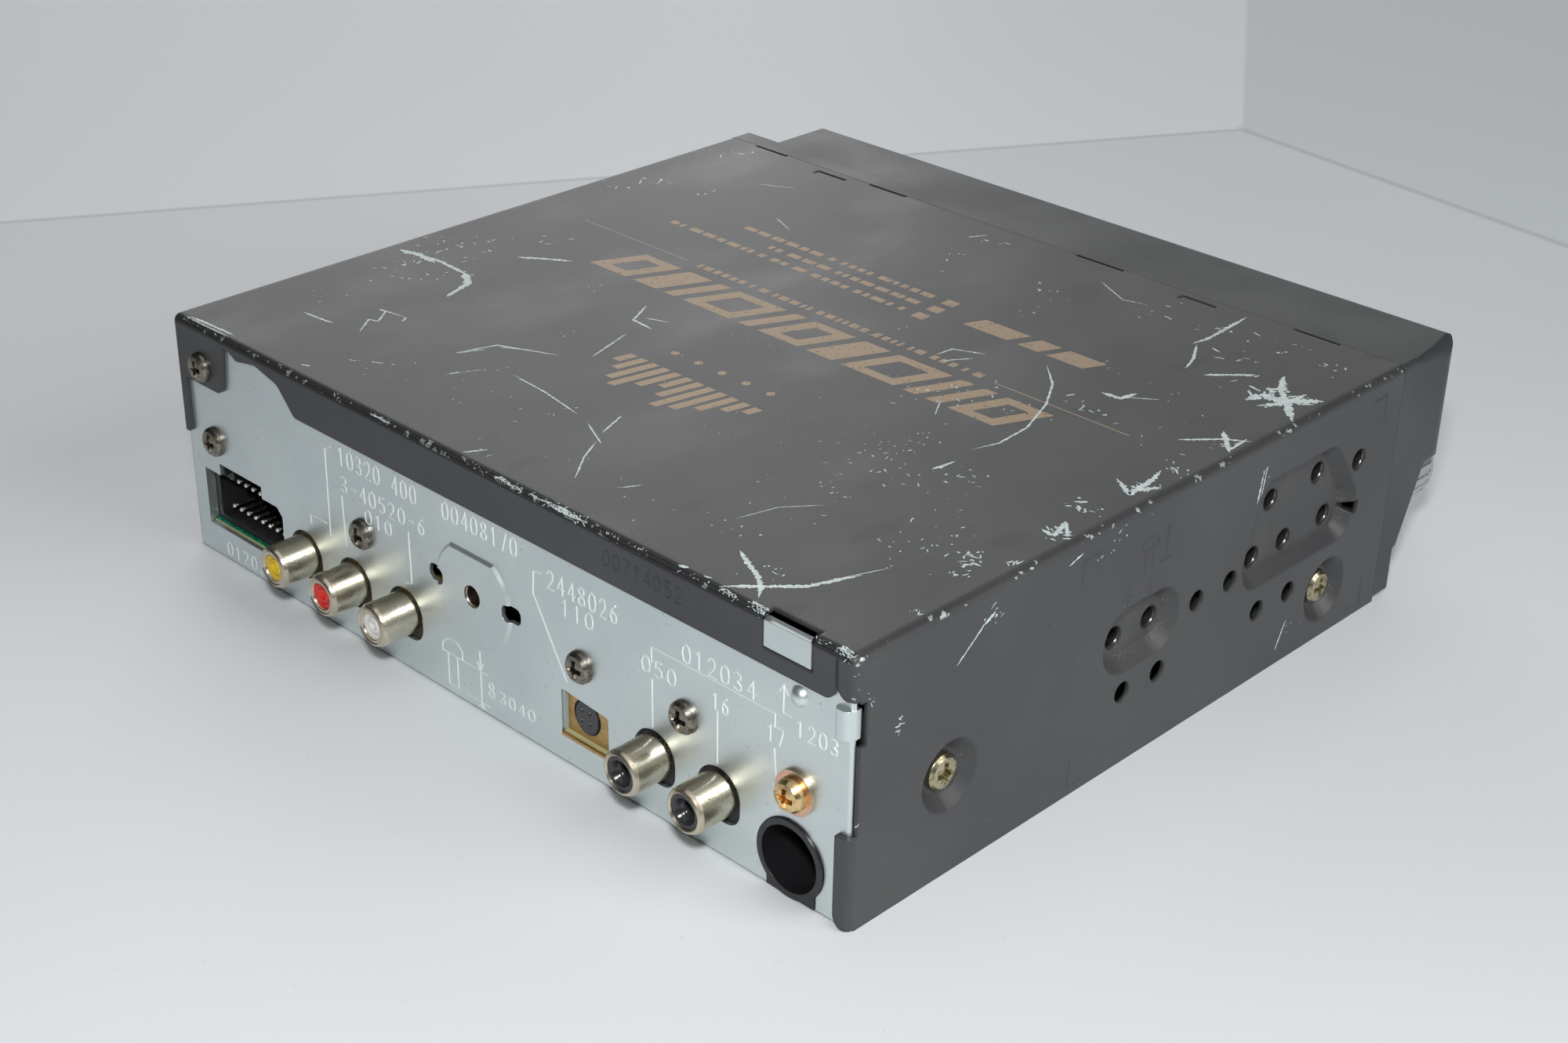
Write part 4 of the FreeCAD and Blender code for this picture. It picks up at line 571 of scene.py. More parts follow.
# Print on the cover's top. One pass of matt gold ink through a screen: a wide row of slanted bars
# and frames, a bar graph, rows of dashes and two thin rules.
def gold_ink():
    ink = Finish("gold_ink", Roughness=0.5, Metallic=0.35)
    worn = ink.step(ink.grain(0.7, 3), 0.60, 0.72)
    ink.set(Base_Color=ink.mix(worn, (0.36, 0.27, 0.18), (0.10, 0.085, 0.07)))
    ink.relief(ink.grain(0.4, 2), 0.006)
    return ink


ink = gold_ink()
printed = Marks(on_top, 0.006)


def slanted(x0, x1, y0, y1, lean):
    drift = (y1 - y0) * lean
    return [(x0, y0), (x1, y0), (x1 + drift, y1), (x0 + drift, y1)]


def oblong(x0, x1, y0, y1):
    return slanted(x0, x1, y0, y1, 0)


def disc(u, v, half_across, half_high, sides):
    turns = [2 * math.pi * n / sides for n in range(sides)]
    return [(u + half_across * math.cos(a), v + half_high * math.sin(a)) for a in turns]


def slanted_frame(x0, x1, y0, y1, line, lean):
    """Four bars round a slanted open box."""
    low, high = y0 + line, y1 - line
    upper = (high - y0) * lean
    printed.patch(slanted(x0, x1, y0, low, lean))
    printed.patch(slanted(x0 + upper, x1 + upper, high, y1, lean))
    post = 1.35 * line
    shift = line * lean
    for left in (x0, x1 - post):
        printed.patch(slanted(left + shift, left + post + shift, low, high, lean))


big_row = [
    ("frame", 10.5), ("bar", 3.0), ("bar", 3.0), ("frame", 13.0), ("bar", 6.5), ("frame", 10.5),
    ("bar", 3.0), ("frame", 13.0), ("bar", 3.0), ("bar", 6.5), ("frame", 10.5),
]
row_lean = 0.45
across = -57.0
for form, width in big_row:
    if form == "frame":
        slanted_frame(across, across + width, 64.0, 75.0, 2.2, row_lean)
    else:
        printed.patch(slanted(across, across + width, 64.0, 75.0, row_lean))
    across += width + 2.3
for k, height in enumerate([3, 5, 8, 11, 12.5, 9, 6, 8.5, 12, 10, 6.5, 4]):
    printed.patch(slanted(-20.0 + 2.95 * k, -18.1 + 2.95 * k, 99.6, 99.6 + height, 0.2))
for k in range(5):
    printed.patch(disc(-16.0 + 6.2 * k, 93.6, 0.9, 0.9, 8))
for left, width in ((-50.0, 8.5), (-39.5, 5.0), (-32.0, 11.0)):
    printed.patch(slanted(left, left + width, 39.6, 44.4, row_lean))
for base, row_end in ((46.0, 58), (41.6, 34), (37.2, 44)):
    printed.patch(oblong(-12.4, -9.4, base, base + 2.6))
    across = -6.5
    while across < row_end:
        width = dice.choice((1.2, 2.0, 3.2, 1.6))
        printed.patch(oblong(across, across + width, base + 0.4, base + 2.1))
        across += width + dice.choice((0.7, 0.9, 1.9))
across = -37.5
while across < 37:
    width = dice.choice((0.9, 1.5, 2.1))
    printed.patch(oblong(across, across + width, 59.4, 61.2))
    across += width + dice.choice((0.8, 0.8, 1.7))
printed.ribbon([(-71.2, 60.9), (-40.5, 60.9)], 0.3)
printed.ribbon([(40.5, 60.1), (71.5, 60.1)], 0.3)
printed.finish_as("cover_gold_print", ink)


# Stamped lines in the cover's right side, as seen from behind: corner brackets and a small screw
# sign. They were punched before painting, so they show only as soft edges in the paint.
def ridge(lines, face, half, height):
    """Low peaked ridges along lines, as (points, faces)."""
    points, faces = [], []
    for line in lines:
        spots = walk(line, 1.2)
        first, last = spots[0][0], spots[-1][0]
        start = len(points)
        for spot, across in spots:
            ahead = Vector((across.y, -across.x))
            end = -ahead if spot is first else ahead if spot is last else Vector((0, 0))
            for shift, lift in ((-half, 0.0), (0.0, height), (half, 0.0)):
                u, v = spot + across * shift + end * (half * 0.6 if lift == 0.0 else 0.0)
                points.append(face(u, v, lift))
        for k in range(len(spots) - 1):
            a = start + 3 * k
            faces += [[a, a + 3, a + 4, a + 1], [a + 1, a + 4, a + 5, a + 2]]
        faces += [[start, start + 1, start + 2], [len(points) - 3, len(points) - 1, len(points) - 2]]
    return points, faces


side_lines = [
    [(95.2, 6.4), (95.5, 1.6), (90.6, 1.6)], [(90.9, 45.6), (95.6, 45.5), (95.7, 41.2)],
    [(9.4, 45.8), (5.5, 46.1), (5.1, 41.2)], [(5.3, 7), (5.1, 1.3), (9.7, 1.9)], [(78.6, 41), (78.4, 37.2)],
    [(76.4, 41), (76.4, 37.2)],
    [(79.6, 41), (75.2, 41), (75.2, 42.2), (76.2, 43), (78.6, 43), (79.6, 42.2), (79.6, 41)],
    [(72.6, 43.6), (72.6, 37)], [(74.2, 37.2), (70.8, 37.2)], [(82.6, 35.4), (82.6, 31.4)],
    [(84, 33.4), (81.2, 33.4)], [(76.4, 34.8), (76.4, 32)],
]
points, faces = ridge(side_lines, on_side, 0.30, 0.13)
add_piece("side_stampings", points, faces, paint)


# Tapped holes. The collars in the sides' dimples and the boss on the rear are threaded M5. The
# boss's thread is bare cut steel, and the sides' threads were dulled by the paint.
def thread(middle, axis, radius, depth, reach):
    """A sleeve of thread crests inside a hole, from the hole's mouth inwards along axis."""
    points = []
    axis = Vector(axis)
    side = axis.orthogonal().normalized()
    up = axis.cross(side)
    around = 20
    pitch = 0.8
    rows = int(reach / (pitch / 2))
    for row in range(rows + 1):
        r = radius - (depth if row % 2 else 0.0)
        for k in range(around):
            a = 2 * math.pi * k / around
            rise = axis * (pitch / 2 * row + pitch * k / around) * 0.001
            points.append(middle + rise + (side * math.cos(a) + up * math.sin(a)) * (r * 0.001))
    return points, weave(rows + 1, around)


def gather(skins):
    """Several skins, each (points, faces), as one."""
    points, faces = [], []
    for more, loops in skins:
        faces += [[n + len(points) for n in loop] for loop in loops]
        points += more
    return points, faces


tapped = Finish("tapped_steel", Metallic=0.9, Roughness=0.28)
tapped.set(Base_Color=tapped.mix(tapped.grain(0.5, 2), (0.10, 0.10, 0.10), (0.26, 0.25, 0.24)))
tapped.relief(tapped.grain(0.2, 2), 0.004)
thread_r = 2.14
collar_x = 86.5
skin_x = 88.9
collar_holes = [
    (82.5, 24.8), (72.5, 24.8), (41.9, 24.8), (31.9, 24.8), (18.9, 25.1), (37.8, 35.0), (22.7, 35.2),
]
for name, way in (("right_hole_threads", 1), ("left_hole_threads", -1)):
    inwards = (way, 0, 0)
    sleeves = [thread(on_case(-collar_x * way, y, z), inwards, thread_r, 0.24, 2.8) for y, z in collar_holes]
    sleeves.append(thread(on_case(-skin_x * way, 12.7, 35.2), inwards, thread_r, 0.24, 3.2))
    points, faces = gather(sleeves)
    add_piece(name, points, faces, tapped, smooth=True)


# Tray and rear panel. Plain zinc-plated sheet, unpainted, with the faint lengthwise lines of
# rolled steel and a slightly cloudy bloom.
def zinc_sheet():
    zinc = Finish("zinc_sheet", Metallic=0.92)
    rolled = zinc.grain(0.5, 3, (0.06, 1, 1))
    bloom = zinc.step(zinc.grain(26, 3), 0.3, 0.7)
    dull = zinc.step(zinc.grain(0.9, 3), 0.66, 0.74)
    colour = zinc.mix(bloom, (0.66, 0.725, 0.725), (0.74, 0.805, 0.80))
    zinc.set(Base_Color=zinc.mix(dull * 0.3, colour, (0.42, 0.41, 0.38)))
    zinc.set(Roughness=0.34 + bloom * 0.07 + dull * 0.2)
    zinc.relief(rolled, 0.004, 0.18)
    return zinc


dress(zinc_sheet(), "chassis_tray", "rear_panel", "rear_nut", "mechanism_deck", "deck_rails", "clamp_arm")


# Signs stamped into the rear panel: leader lines from each socket to its number, the arrow for the cover's
# latch and a screw with its length. The die raised them as fine ridges, coloured paler than the sheet as
# painted highlight for the light that they catch.
panel_y = 149.2


def on_rear(u, v, h):
    return on_case(u, panel_y + h, v)


# Each figure is one line, in a box 1 wide and 1.4 high.
strokes = {
    " ": [],
    "-": [(0.1, 0.7), (0.9, 0.7)],
    "0": [
        (0.5, 1.4), (0.15, 1.25), (0, 0.7), (0.15, 0.15), (0.5, 0), (0.85, 0.15), (1, 0.7), (0.85, 1.25),
        (0.5, 1.4),
    ],
    "1": [(0.2, 1.1), (0.5, 1.4), (0.5, 0)],
    "2": [(0.05, 1.1), (0.25, 1.36), (0.6, 1.38), (0.88, 1.15), (0.8, 0.75), (0.05, 0), (0.95, 0)],
    "3": [
        (0.08, 1.22), (0.4, 1.4), (0.8, 1.25), (0.85, 0.95), (0.45, 0.74), (0.9, 0.5), (0.85, 0.15),
        (0.45, 0), (0.05, 0.18),
    ],
    "4": [(0.75, 0), (0.75, 1.4), (0.05, 0.42), (1, 0.42)],
    "5": [
        (0.88, 1.4), (0.2, 1.4), (0.12, 0.8), (0.5, 0.9), (0.88, 0.68), (0.9, 0.25), (0.5, 0), (0.08, 0.14),
    ],
    "6": [
        (0.8, 1.35), (0.35, 1.1), (0.08, 0.55), (0.2, 0.1), (0.55, 0), (0.9, 0.25), (0.88, 0.65),
        (0.5, 0.82), (0.12, 0.6),
    ],
    "7": [(0.05, 1.4), (0.95, 1.4), (0.35, 0)],
    "8": [
        (0.5, 0.75), (0.15, 0.95), (0.15, 1.25), (0.5, 1.4), (0.85, 1.25), (0.85, 0.95), (0.5, 0.75),
        (0.08, 0.5), (0.1, 0.15), (0.5, 0), (0.9, 0.15), (0.92, 0.5), (0.5, 0.75),
    ],
}


def numeral(text, u, v, high, pitch=2.6):
    """Single-line figures that read from behind, pitch millimetres apart, their lower left at (u, v)."""
    lines = []
    for k, mark in enumerate(text):
        if strokes[mark]:
            lines.append([(u - pitch * (0.64 * a + k), v + b * high / 1.4) for a, b in strokes[mark]])
    return lines


def on_flange(u, v, h):
    return on_case(u, 2 * half_deep + h, v)


# The lip over the panel has one faint number, stamped before painting.
points, faces = ridge(numeral("00714052", -33.8, 43.9, 2.9, 2.4), on_flange, 0.16, 0.10)
add_piece("flange_number", points, faces, paint)

# Leader lines, then the arrow for the latch, then the screw's outline and its measure
rear_lines = [
    [(40.6, 38.3), (42.6, 37.4), (42.9, 19.2)], [(38.4, 29.2), (38.1, 18.9)],
    [(18.9, 29.1), (18.8, 18.8), (20.6, 18.2)], [(44, 21.4), (48.8, 21.4), (48.8, 19.6)],
    [(-17.3, 35.4), (-15.3, 35), (-15, 30.7), (-23.1, 16.6)],
    [(-44.2, 29.8), (-44.2, 32.6), (-72.1, 32.6), (-72, 30.2)], [(-44.3, 26.5), (-44.3, 17.5)],
    [(-59.4, 27.3), (-59.4, 17.6)], [(-72, 26.3), (-73, 15.1)],
    [(-73.8, 38.6), (-73.8, 33.6), (-75.4, 33.6)], [(-72.9, 37.2), (-73.8, 38.7), (-74.7, 37.2)],
    [(10.6, 10.4), (10.8, 8.6), (5.2, 8.6), (5.2, 10.4), (6.6, 11.6), (9, 11.6), (10.6, 10.4)],
    [(9.3, 8.5), (9.3, 2.2)], [(6.7, 8.5), (6.7, 2.2)], [(9.3, 2.2), (6.7, 2.2)], [(5, 8.6), (-1.4, 8.6)],
    [(4.4, 2.1), (-1.9, 2.1)], [(0.2, 12.6), (0.2, 8.8)], [(1, 10.2), (0.2, 8.7), (-0.6, 10.2)],
    [(0.2, 8.6), (0.2, 0.8)], [(1, 1), (0.2, 2), (-0.6, 1)],
]
# Text, lower left corner, height and, where it is wider or closer set, pitch of the figures
figures = [
    ("10320 400", 38.6, 35.5, 3.6), ("3-40520-6", 38.4, 30.1, 3.2, 2.8), ("010", 31.6, 26.2, 2.8, 2.9),
    ("00408170", 8.8, 35.8, 3.5), ("2448026", -18.8, 33.2, 3.5), ("110", -22.2, 29.5, 3.1, 3.0),
    ("012034", -51.4, 33.1, 3.3, 2.9), ("050", -41.9, 27.4, 3.0, 3.0), ("16", -58.2, 27.5, 3.0, 2.2),
    ("17", -70.4, 27.3, 3.0, 2.2), ("1203", -76.6, 30.8, 2.9, 2.4), ("8", -1.8, 4.3, 3.0),
    ("3040", -4.8, 4.4, 2.3), ("01203", 78.6, 1.4, 2.8, 2.7),
]
for figure in figures:
    rear_lines += numeral(*figure)
# Painted highlight: the ridges are coloured paler and less metallic than the sheet.
stamped = Finish("stamped_zinc_painted_highlight", Metallic=0.35, Roughness=0.36)
stamped.set(Base_Color=stamped.mix(stamped.grain(3, 3), (0.80, 0.86, 0.86), (0.92, 0.96, 0.96)))
stamped.relief(stamped.grain(0.4, 2), 0.004)
points, faces = ridge(rear_lines, on_rear, 0.19, 0.13)
add_piece("rear_stampings", points, faces, stamped)

boss_mouth = on_case(0.9, 149.7, 23.6)
points, faces = thread(boss_mouth, (0, -1, 0), thread_r, 0.28, 5.2)
steel_cut = Finish("cut_steel", Base_Color=(0.52, 0.40, 0.34), Metallic=1.0, Roughness=0.3)
steel_cut.relief(steel_cut.grain(0.2, 2), 0.004)
add_piece("boss_thread", points, faces, steel_cut, smooth=True)


# Screws. Cross-head pan screws: dull nickel on the rear and in the lip, yellower in the sides,
# and one gilt screw on a coppery toothed washer for the earth lead.
def plated(name, colour, spots, rough):
    metal = Finish(name, Metallic=1.0)
    stain = metal.step(metal.grain(0.8, 3), 0.48, 0.68)
    pit = metal.step(metal.grain(0.22, 2), 0.64, 0.70)
    metal.set(Base_Color=metal.mix(pit * 0.6, metal.mix(stain, colour, spots), (0.10, 0.08, 0.06)))
    metal.set(Roughness=rough + stain * 0.12 + pit * 0.25)
    metal.relief(metal.grain(0.3, 3), 0.004, 0.12)
    return metal


dress(plated("dull_nickel", (0.27, 0.25, 0.215), (0.15, 0.135, 0.11), 0.26), "panel_screws", "lip_screw")
dress(plated("olive_nickel", (0.46, 0.42, 0.28), (0.26, 0.23, 0.14), 0.26), "side_screws")
dress(plated("yellow_zinc", (0.82, 0.60, 0.30), (0.68, 0.42, 0.22), 0.24), "earth_screw")


def coppery_washer():
    """Yellow passivation runs through pink and green toward the washer's rim."""
    washer = Finish("passivated_copper", Metallic=1.0, Roughness=0.28)
    x, y, z = washer.axes()
    across, up = x + 77.0, z - 20.7
    square = across * across + up * up
    reach = square.maths("SQRT", square) + washer.grain(1.5, 2) * 0.8 - 0.4
    stops = [
        (0.0, (0.80, 0.55, 0.30)), (0.35, (0.85, 0.60, 0.33)), (0.7, (0.80, 0.42, 0.33)),
        (1.0, (0.62, 0.52, 0.36)),
    ]
    colour = washer.node("ValToRGB", {"stops": stops}, [washer.step(reach, 2.2, 4.1)])
    washer.set(Base_Color=colour)
    washer.relief(washer.grain(0.4, 2), 0.01, 0.1)
    return washer


dress(coppery_washer(), "earth_washer")


# Phono jacks. Turned brass shells with warm nickel plating, pitted on top, round moulded insulators
# in the signal's colour and hollow middle contacts.
def jack_nickel():
    nickel = Finish("warm_nickel", Metallic=1.0)
    x, y, z = nickel.axes()
    upper = nickel.step(z, 10.5, 14.5) * nickel.step(nickel.grain(4, 2), 0.3, 0.6)
    pits = nickel.step(nickel.grain(0.22, 2), 0.56, 0.62) * upper
    # Painted highlight: pale glints on the shells' upper side, where the light falls.
    painted_glints = nickel.step(nickel.grain(0.19, 1), 0.68, 0.72) * upper
    haze = nickel.step(nickel.grain(7, 2), 0.3, 0.75)
    colour = nickel.mix(haze, (0.67, 0.615, 0.50), (0.59, 0.53, 0.41))
    colour = nickel.mix(pits * 0.55, colour, (0.24, 0.17, 0.09))
    nickel.set(Base_Color=nickel.mix(painted_glints * 0.6, colour, (0.95, 0.90, 0.78)))
    nickel.set(Roughness=0.25 + haze * 0.05 + pits * 0.35)
    nickel.relief(pits, 0.006, 0.3)
    return nickel


shell_nickel = jack_nickel()
dress(shell_nickel, "jack_contacts")


def moulded(name, colour, rough=0.38, texture=0.25, edge=0.15):
    """Moulded plastic: a fine spark-eroded texture and slightly uneven colour."""
    plastic = Finish(name)
    uneven = plastic.step(plastic.grain(6, 3), 0.3, 0.7)
    darker = [c * 0.86 for c in colour]
    plastic.set(Base_Color=plastic.mix(uneven, darker, colour), Roughness=rough + uneven * 0.07)
    plastic.relief(plastic.grain(texture, 2), 0.008, edge)
    return plastic


dress(moulded("yellow_insulator", (0.84, 0.58, 0.03)), "yellow_jack_insert")
dress(moulded("red_insulator", (0.72, 0.035, 0.02)), "red_jack_insert")
dress(moulded("white_insulator", (0.86, 0.84, 0.80)), "white_jack_insert")
dress(moulded("black_moulding", (0.022, 0.022, 0.024), 0.30), "black_jack_inserts", "digital_socket_insert")


def lathe(profile, middle, around=36):
    """A skin turned about an axis that points out of the rear; profile is (radius, distance out)."""
    points = []
    for r, out in profile:
        for k in range(around):
            a = 2 * math.pi * k / around
            points.append(middle + Vector((r * math.cos(a), out, r * math.sin(a))) * 0.001)
    return points, weave(len(profile), around, closed=True)


# The three colour jacks narrow at the mouth, where the shell is rolled in over the insulator. The
# insulator's face has a ring groove round its funnel.
jack_z = 12.0
rolled_mouth = [(3.35, 7.72), (3.10, 7.84), (2.72, 7.84), (2.58, 7.7), (2.56, 6.9)]
insulator_face = [
    (2.56, 7.25), (2.40, 7.36), (1.74, 7.30), (1.66, 7.05), (1.56, 7.05),
    (1.50, 7.42), (1.15, 7.5), (0.75, 7.3), (0.45, 6.9), (0.02, 6.9),
]
colour_jacks = [
    ("yellow", 51.2, (0.84, 0.56, 0.02)),
    ("red", 36.2, (0.76, 0.03, 0.018)),
    ("white", 21.2, (0.86, 0.85, 0.82)),
]
for name, jack_x, colour in colour_jacks:
    foot = on_case(jack_x, panel_y, jack_z)
    points, faces = lathe(rolled_mouth, foot)
    add_piece(name + "_jack_mouth", points, faces, shell_nickel, smooth=True)
    points, faces = lathe(insulator_face, foot)
    plug = moulded(name + "_plug", colour, 0.30, 0.3, 0.1)
    add_piece(name + "_jack_plug", points, faces, plug, smooth=True)

# The two black jacks are glossy funnels.
glossy = moulded("glossy_black", (0.030, 0.030, 0.034), 0.16, 0.3, 0.1)
dish = [
    (3.07, 7.55), (2.95, 7.62), (2.50, 7.62), (2.36, 7.5), (2.05, 6.7), (1.72, 6.2), (1.58, 6.1), (1.52, 5.6),
]
for name, jack_x in (("first_black_dish", -44.7), ("second_black_dish", -59.7)):
    points, faces = lathe(dish, on_case(jack_x, panel_y, jack_z))
    add_piece(name, points, faces, glossy, smooth=True)


def amber_body():
    """Amber moulding behind the jacks, amber along its top and painted nearly black below as shade, where
    little light reaches it.
    """
    amber = Finish("brown_jack_body")
    x, y, z = amber.axes()
    uneven = amber.step(amber.grain(6, 3), 0.3, 0.7)
    unshaded_top = amber.step(z, 15.4, 16.2)
    # Painted shade: nearly black below, where the openings round the jacks are in shade.
    amber.set(Base_Color=amber.mix(unshaded_top, (0.035, 0.024, 0.010), (0.42, 0.29, 0.05)))
    amber.set(Roughness=0.5 + uneven * 0.07)
    amber.relief(amber.grain(0.25, 2), 0.008, 0.15)
    return amber


dress(amber_body(), "triple_jack_block")
dress(moulded("black_jack_body", (0.02, 0.02, 0.022), 0.5), "double_jack_block", "encoder", "display_module")


# Power connector, digital socket and bus socket. Glass-filled black mouldings with tinned pins,
# a gilt steel shield round the digital socket, and loose dust in the deep round bore.
def dusty_black():
    dusty = Finish("dusty_black", Specular_IOR_Level=0.5)
    x, y, z = dusty.axes()
    low = dusty.step(z, 8.5, 4.5) * 0.10
    dust = dusty.step(dusty.grain(0.20, 2) + low, 0.66, 0.70)
    colour = dusty.mix(dusty.step(dusty.grain(0.5), 0.45, 0.55), (0.80, 0.78, 0.74), (0.55, 0.45, 0.25))
    dusty.set(Base_Color=dusty.mix(dust, (0.014, 0.014, 0.016), colour))
    dusty.set(Roughness=0.28 + dust * 0.5)
    dusty.relief(dusty.grain(0.3, 2) + dust, 0.01, 0.1)
    return dusty


dress(dusty_black(), "bus_socket_core")
dress(moulded("bus_socket_black", (0.014, 0.014, 0.016), 0.22, 0.4, 0.25), "bus_socket_shell")
dress(moulded("header_black", (0.016, 0.016, 0.018), 0.35), "power_header")
dress(plated("tinned_pins", (0.74, 0.72, 0.66), (0.60, 0.57, 0.50), 0.22), "power_pins")
dress(plated("gilt_shield", (0.60, 0.40, 0.17), (0.54, 0.35, 0.14), 0.42), "digital_socket_shield")

# The plug has polished the pins' round ends. A faint glow stands for the light that they catch
# deep in the dark housing.
tip_tin = plated("pin_tip_tin", (0.95, 0.93, 0.88), (0.85, 0.82, 0.75), 0.18)
tip_tin.set(Emission_Color=(1.0, 0.97, 0.9), Emission_Strength=0.12)
low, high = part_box("power_pins")
pin_r = 0.4
pin_pitch = 2.4
pin_tip = [(0.44, -0.1), (0.44, 0.12), (0.30, 0.30), (0.02, 0.36)]
pin_rows = (0.0097, 0.0159)
pin_places = [(low.x + (pin_r + pin_pitch * k) * 0.001, z) for z in pin_rows for k in range(8)]
points, faces = gather([lathe(pin_tip, Vector((x, high.y, z)), 12) for x, z in pin_places])
add_piece("power_pin_tips", points, faces, tip_tin, smooth=True)


# The digital socket's face: an oval black well in the gilt shield, with a key at its side and foot,
# round a dark grey plug seat with four contacts. Zinc and board edges show beside and below it.
socket_x = -27.1
socket_y = 148.0
socket_z = 11.0


def oval(name, rim, lift, finish, notches=()):
    """A flat-topped oval pad, half width and half height in rim, with its edge lowered to the shield."""
    points = [on_case(socket_x, socket_y + lift, socket_z)]
    count = 72
    for share, drop in ((0.93, 0.0), (1.0, 0.06), (1.0, lift)):
        for k in range(count):
            a = 2 * math.pi * k / count
            grow = share
            for middle, width, reach in notches:
                if abs((a - middle + math.pi) % (2 * math.pi) - math.pi) < width:
                    grow = share * reach
            across = socket_x + rim[0] * grow * math.cos(a)
            points.append(on_case(across, socket_y + lift - drop, socket_z + rim[1] * grow * math.sin(a)))
    middle_fan = [[0, 1 + k, 1 + (k + 1) % count] for k in range(count)]
    add_piece(name, points, middle_fan + weave(3, count, 1, closed=True), finish)


well = moulded("well_black_and_shade", (0.006, 0.006, 0.007), 0.5)
# Where round the rim, half width in radians, and how far out or in
well_notches = [
    (math.radians(15), 0.10, 0.84), (math.radians(180), 0.10, 0.9), (math.radians(262), 0.12, 1.07),
    (math.radians(35), 0.06, 1.10), (math.radians(350), 0.05, 1.09),
]
oval("digital_well", (3.35, 4.0), 0.03, well, well_notches)
seat = moulded("seat_grey", (0.055, 0.057, 0.062), 0.42, 0.3, 0.1)
oval("digital_plug_seat", (2.75, 3.35), 0.42, seat)


def on_seat(u, v, h):
    return on_case(u, socket_y + h, v)


tips = Marks(on_seat, 0.44)
# Painted shade: the contact holes are flat near-black discs on the seat.
hole_shades = Marks(on_seat, 0.425)
for u, v in ((-25.9, 12.0), (-27.9, 12.1), (-25.9, 9.9), (-27.9, 10.0)):
    hole_shades.patch(disc(u, v, 0.42, 0.5, 12))
    tips.patch(disc(u, v + 0.2, 0.16, 0.12, 8))
hole_shades.finish_as("digital_contact_hole_shades", well)
contact_tip = plated("contact_tip", (0.80, 0.80, 0.78), (0.7, 0.7, 0.68), 0.2)
tips.finish_as("digital_contact_tips", contact_tip)


def block(name, x0, x1, y0, y1, z0, z1, finish):
    """A plain bar between two corners, placed as on_case places points."""
    points = [on_case(x, y, z) for x in (x0, x1) for y in (y0, y1) for z in (z0, z1)]
    faces = [[0, 1, 3, 2], [4, 6, 7, 5], [0, 4, 5, 1], [2, 3, 7, 6], [0, 2, 6, 4], [1, 5, 7, 3]]
    add_piece(name, points, faces, finish)


cut_zinc = moulded("cut_zinc", (0.36, 0.41, 0.41), 0.35, 0.3, 0.05)
cream_edge = moulded("cream_edge", (0.46, 0.47, 0.27), 0.5, 0.5, 0.1)
block("digital_side_strip", -22.15, -21.6, socket_y, 148.9, 6.7, 14.5, cut_zinc)
# Painted shade: the gap pieces are thin near-black sheets where the gaps beside and at the end of the well
# lie in shade.
block("digital_side_gap_shade", -22.75, -22.15, socket_y, 148.04, 6.4, 14.2, well)
block("digital_foot_strip", -32.2, -21.9, socket_y, 148.95, 5.75, 6.55, cream_edge)
block("digital_end_gap_shade", -33.3, -32.3, socket_y, 148.05, 6.4, 13.2, well)

# Circuit boards. Green solder mask over fine copper tracks on glass cloth, whose cut edge shows
# cream behind the power connector's opening.
def circuit_board():
    mask = Finish("green_board", Specular_IOR_Level=0.5, Roughness=0.28)
    x, y, z = mask.axes()
    waves = {"Vector": mask.spot(), "Scale": 0.35, "Distortion": 9.0, "Detail": 1.0}
    across = mask.node("TexWave", {"bands_direction": "DIAGONAL"}, waves, out=1)
    track = mask.step(across, 0.62, 0.70)
    colour = mask.mix(track, (0.0, 0.13, 0.065), (0.01, 0.24, 0.13))
    edge = mask.step(y, 72.85, 72.95) * mask.step(x, 55.0, 56.0)
    mask.set(Base_Color=mask.mix(edge, colour, (0.50, 0.52, 0.30)))
    mask.relief(track, 0.02)
    return mask


dress(circuit_board(), "main_board", "front_board")
dress(moulded("board_part_black", (0.03, 0.03, 0.035), 0.4), "board_parts", "front_switches")
dress(moulded("ribbon_grey", (0.45, 0.47, 0.48), 0.45), "front_ribbon")


# Front. A carrier frame and a deep nose, both moulded in dark grey, with a fine matt grain that
# handling has polished along the edges.
def nose_plastic():
    nose = Finish("nose_grey", Specular_IOR_Level=0.45)
    uneven = nose.step(nose.grain(24, 3), 0.3, 0.7)
    dust = nose.step(nose.grain(0.4, 2), 0.70, 0.74)
    colour = nose.mix(uneven, (0.035, 0.038, 0.040), (0.044, 0.047, 0.049))
    nose.set(Base_Color=nose.mix(dust * 0.3, colour, (0.3, 0.3, 0.29)))
    nose.set(Roughness=nose.blend(uneven, 0.46, 0.38))
    nose.relief(nose.grain(0.22, 2), 0.012, 0.4)
    return nose


dress(nose_plastic(), "front_panel", "front_frame")
smoke = Finish("smoked_window", Base_Color=(0.006, 0.008, 0.012), Roughness=0.06)
smoke.set(Coat_Weight=0.6, Coat_Roughness=0.03)
smoke.relief(smoke.grain(14, 2), 0.01, 0.2)
dress(smoke, "display_lens")


# Controls. Eight moulded keys, each on its own switch, and a turned light grey knob whose face
# still has the lathe's fine rings.
def knob_silver():
    silver = Finish("knob_silver", Metallic=0.85)
    x, y, z = silver.axes()
    rings = silver.grain(0.25, 2, (1, 0.05, 1))
    silver.set(Base_Color=silver.mix(rings, (0.46, 0.47, 0.48), (0.58, 0.59, 0.60)))
    silver.set(Roughness=0.30 + rings * 0.1)
    silver.relief(rings, 0.006, 0.15)
    return silver


dress(knob_silver(), "volume_knob")

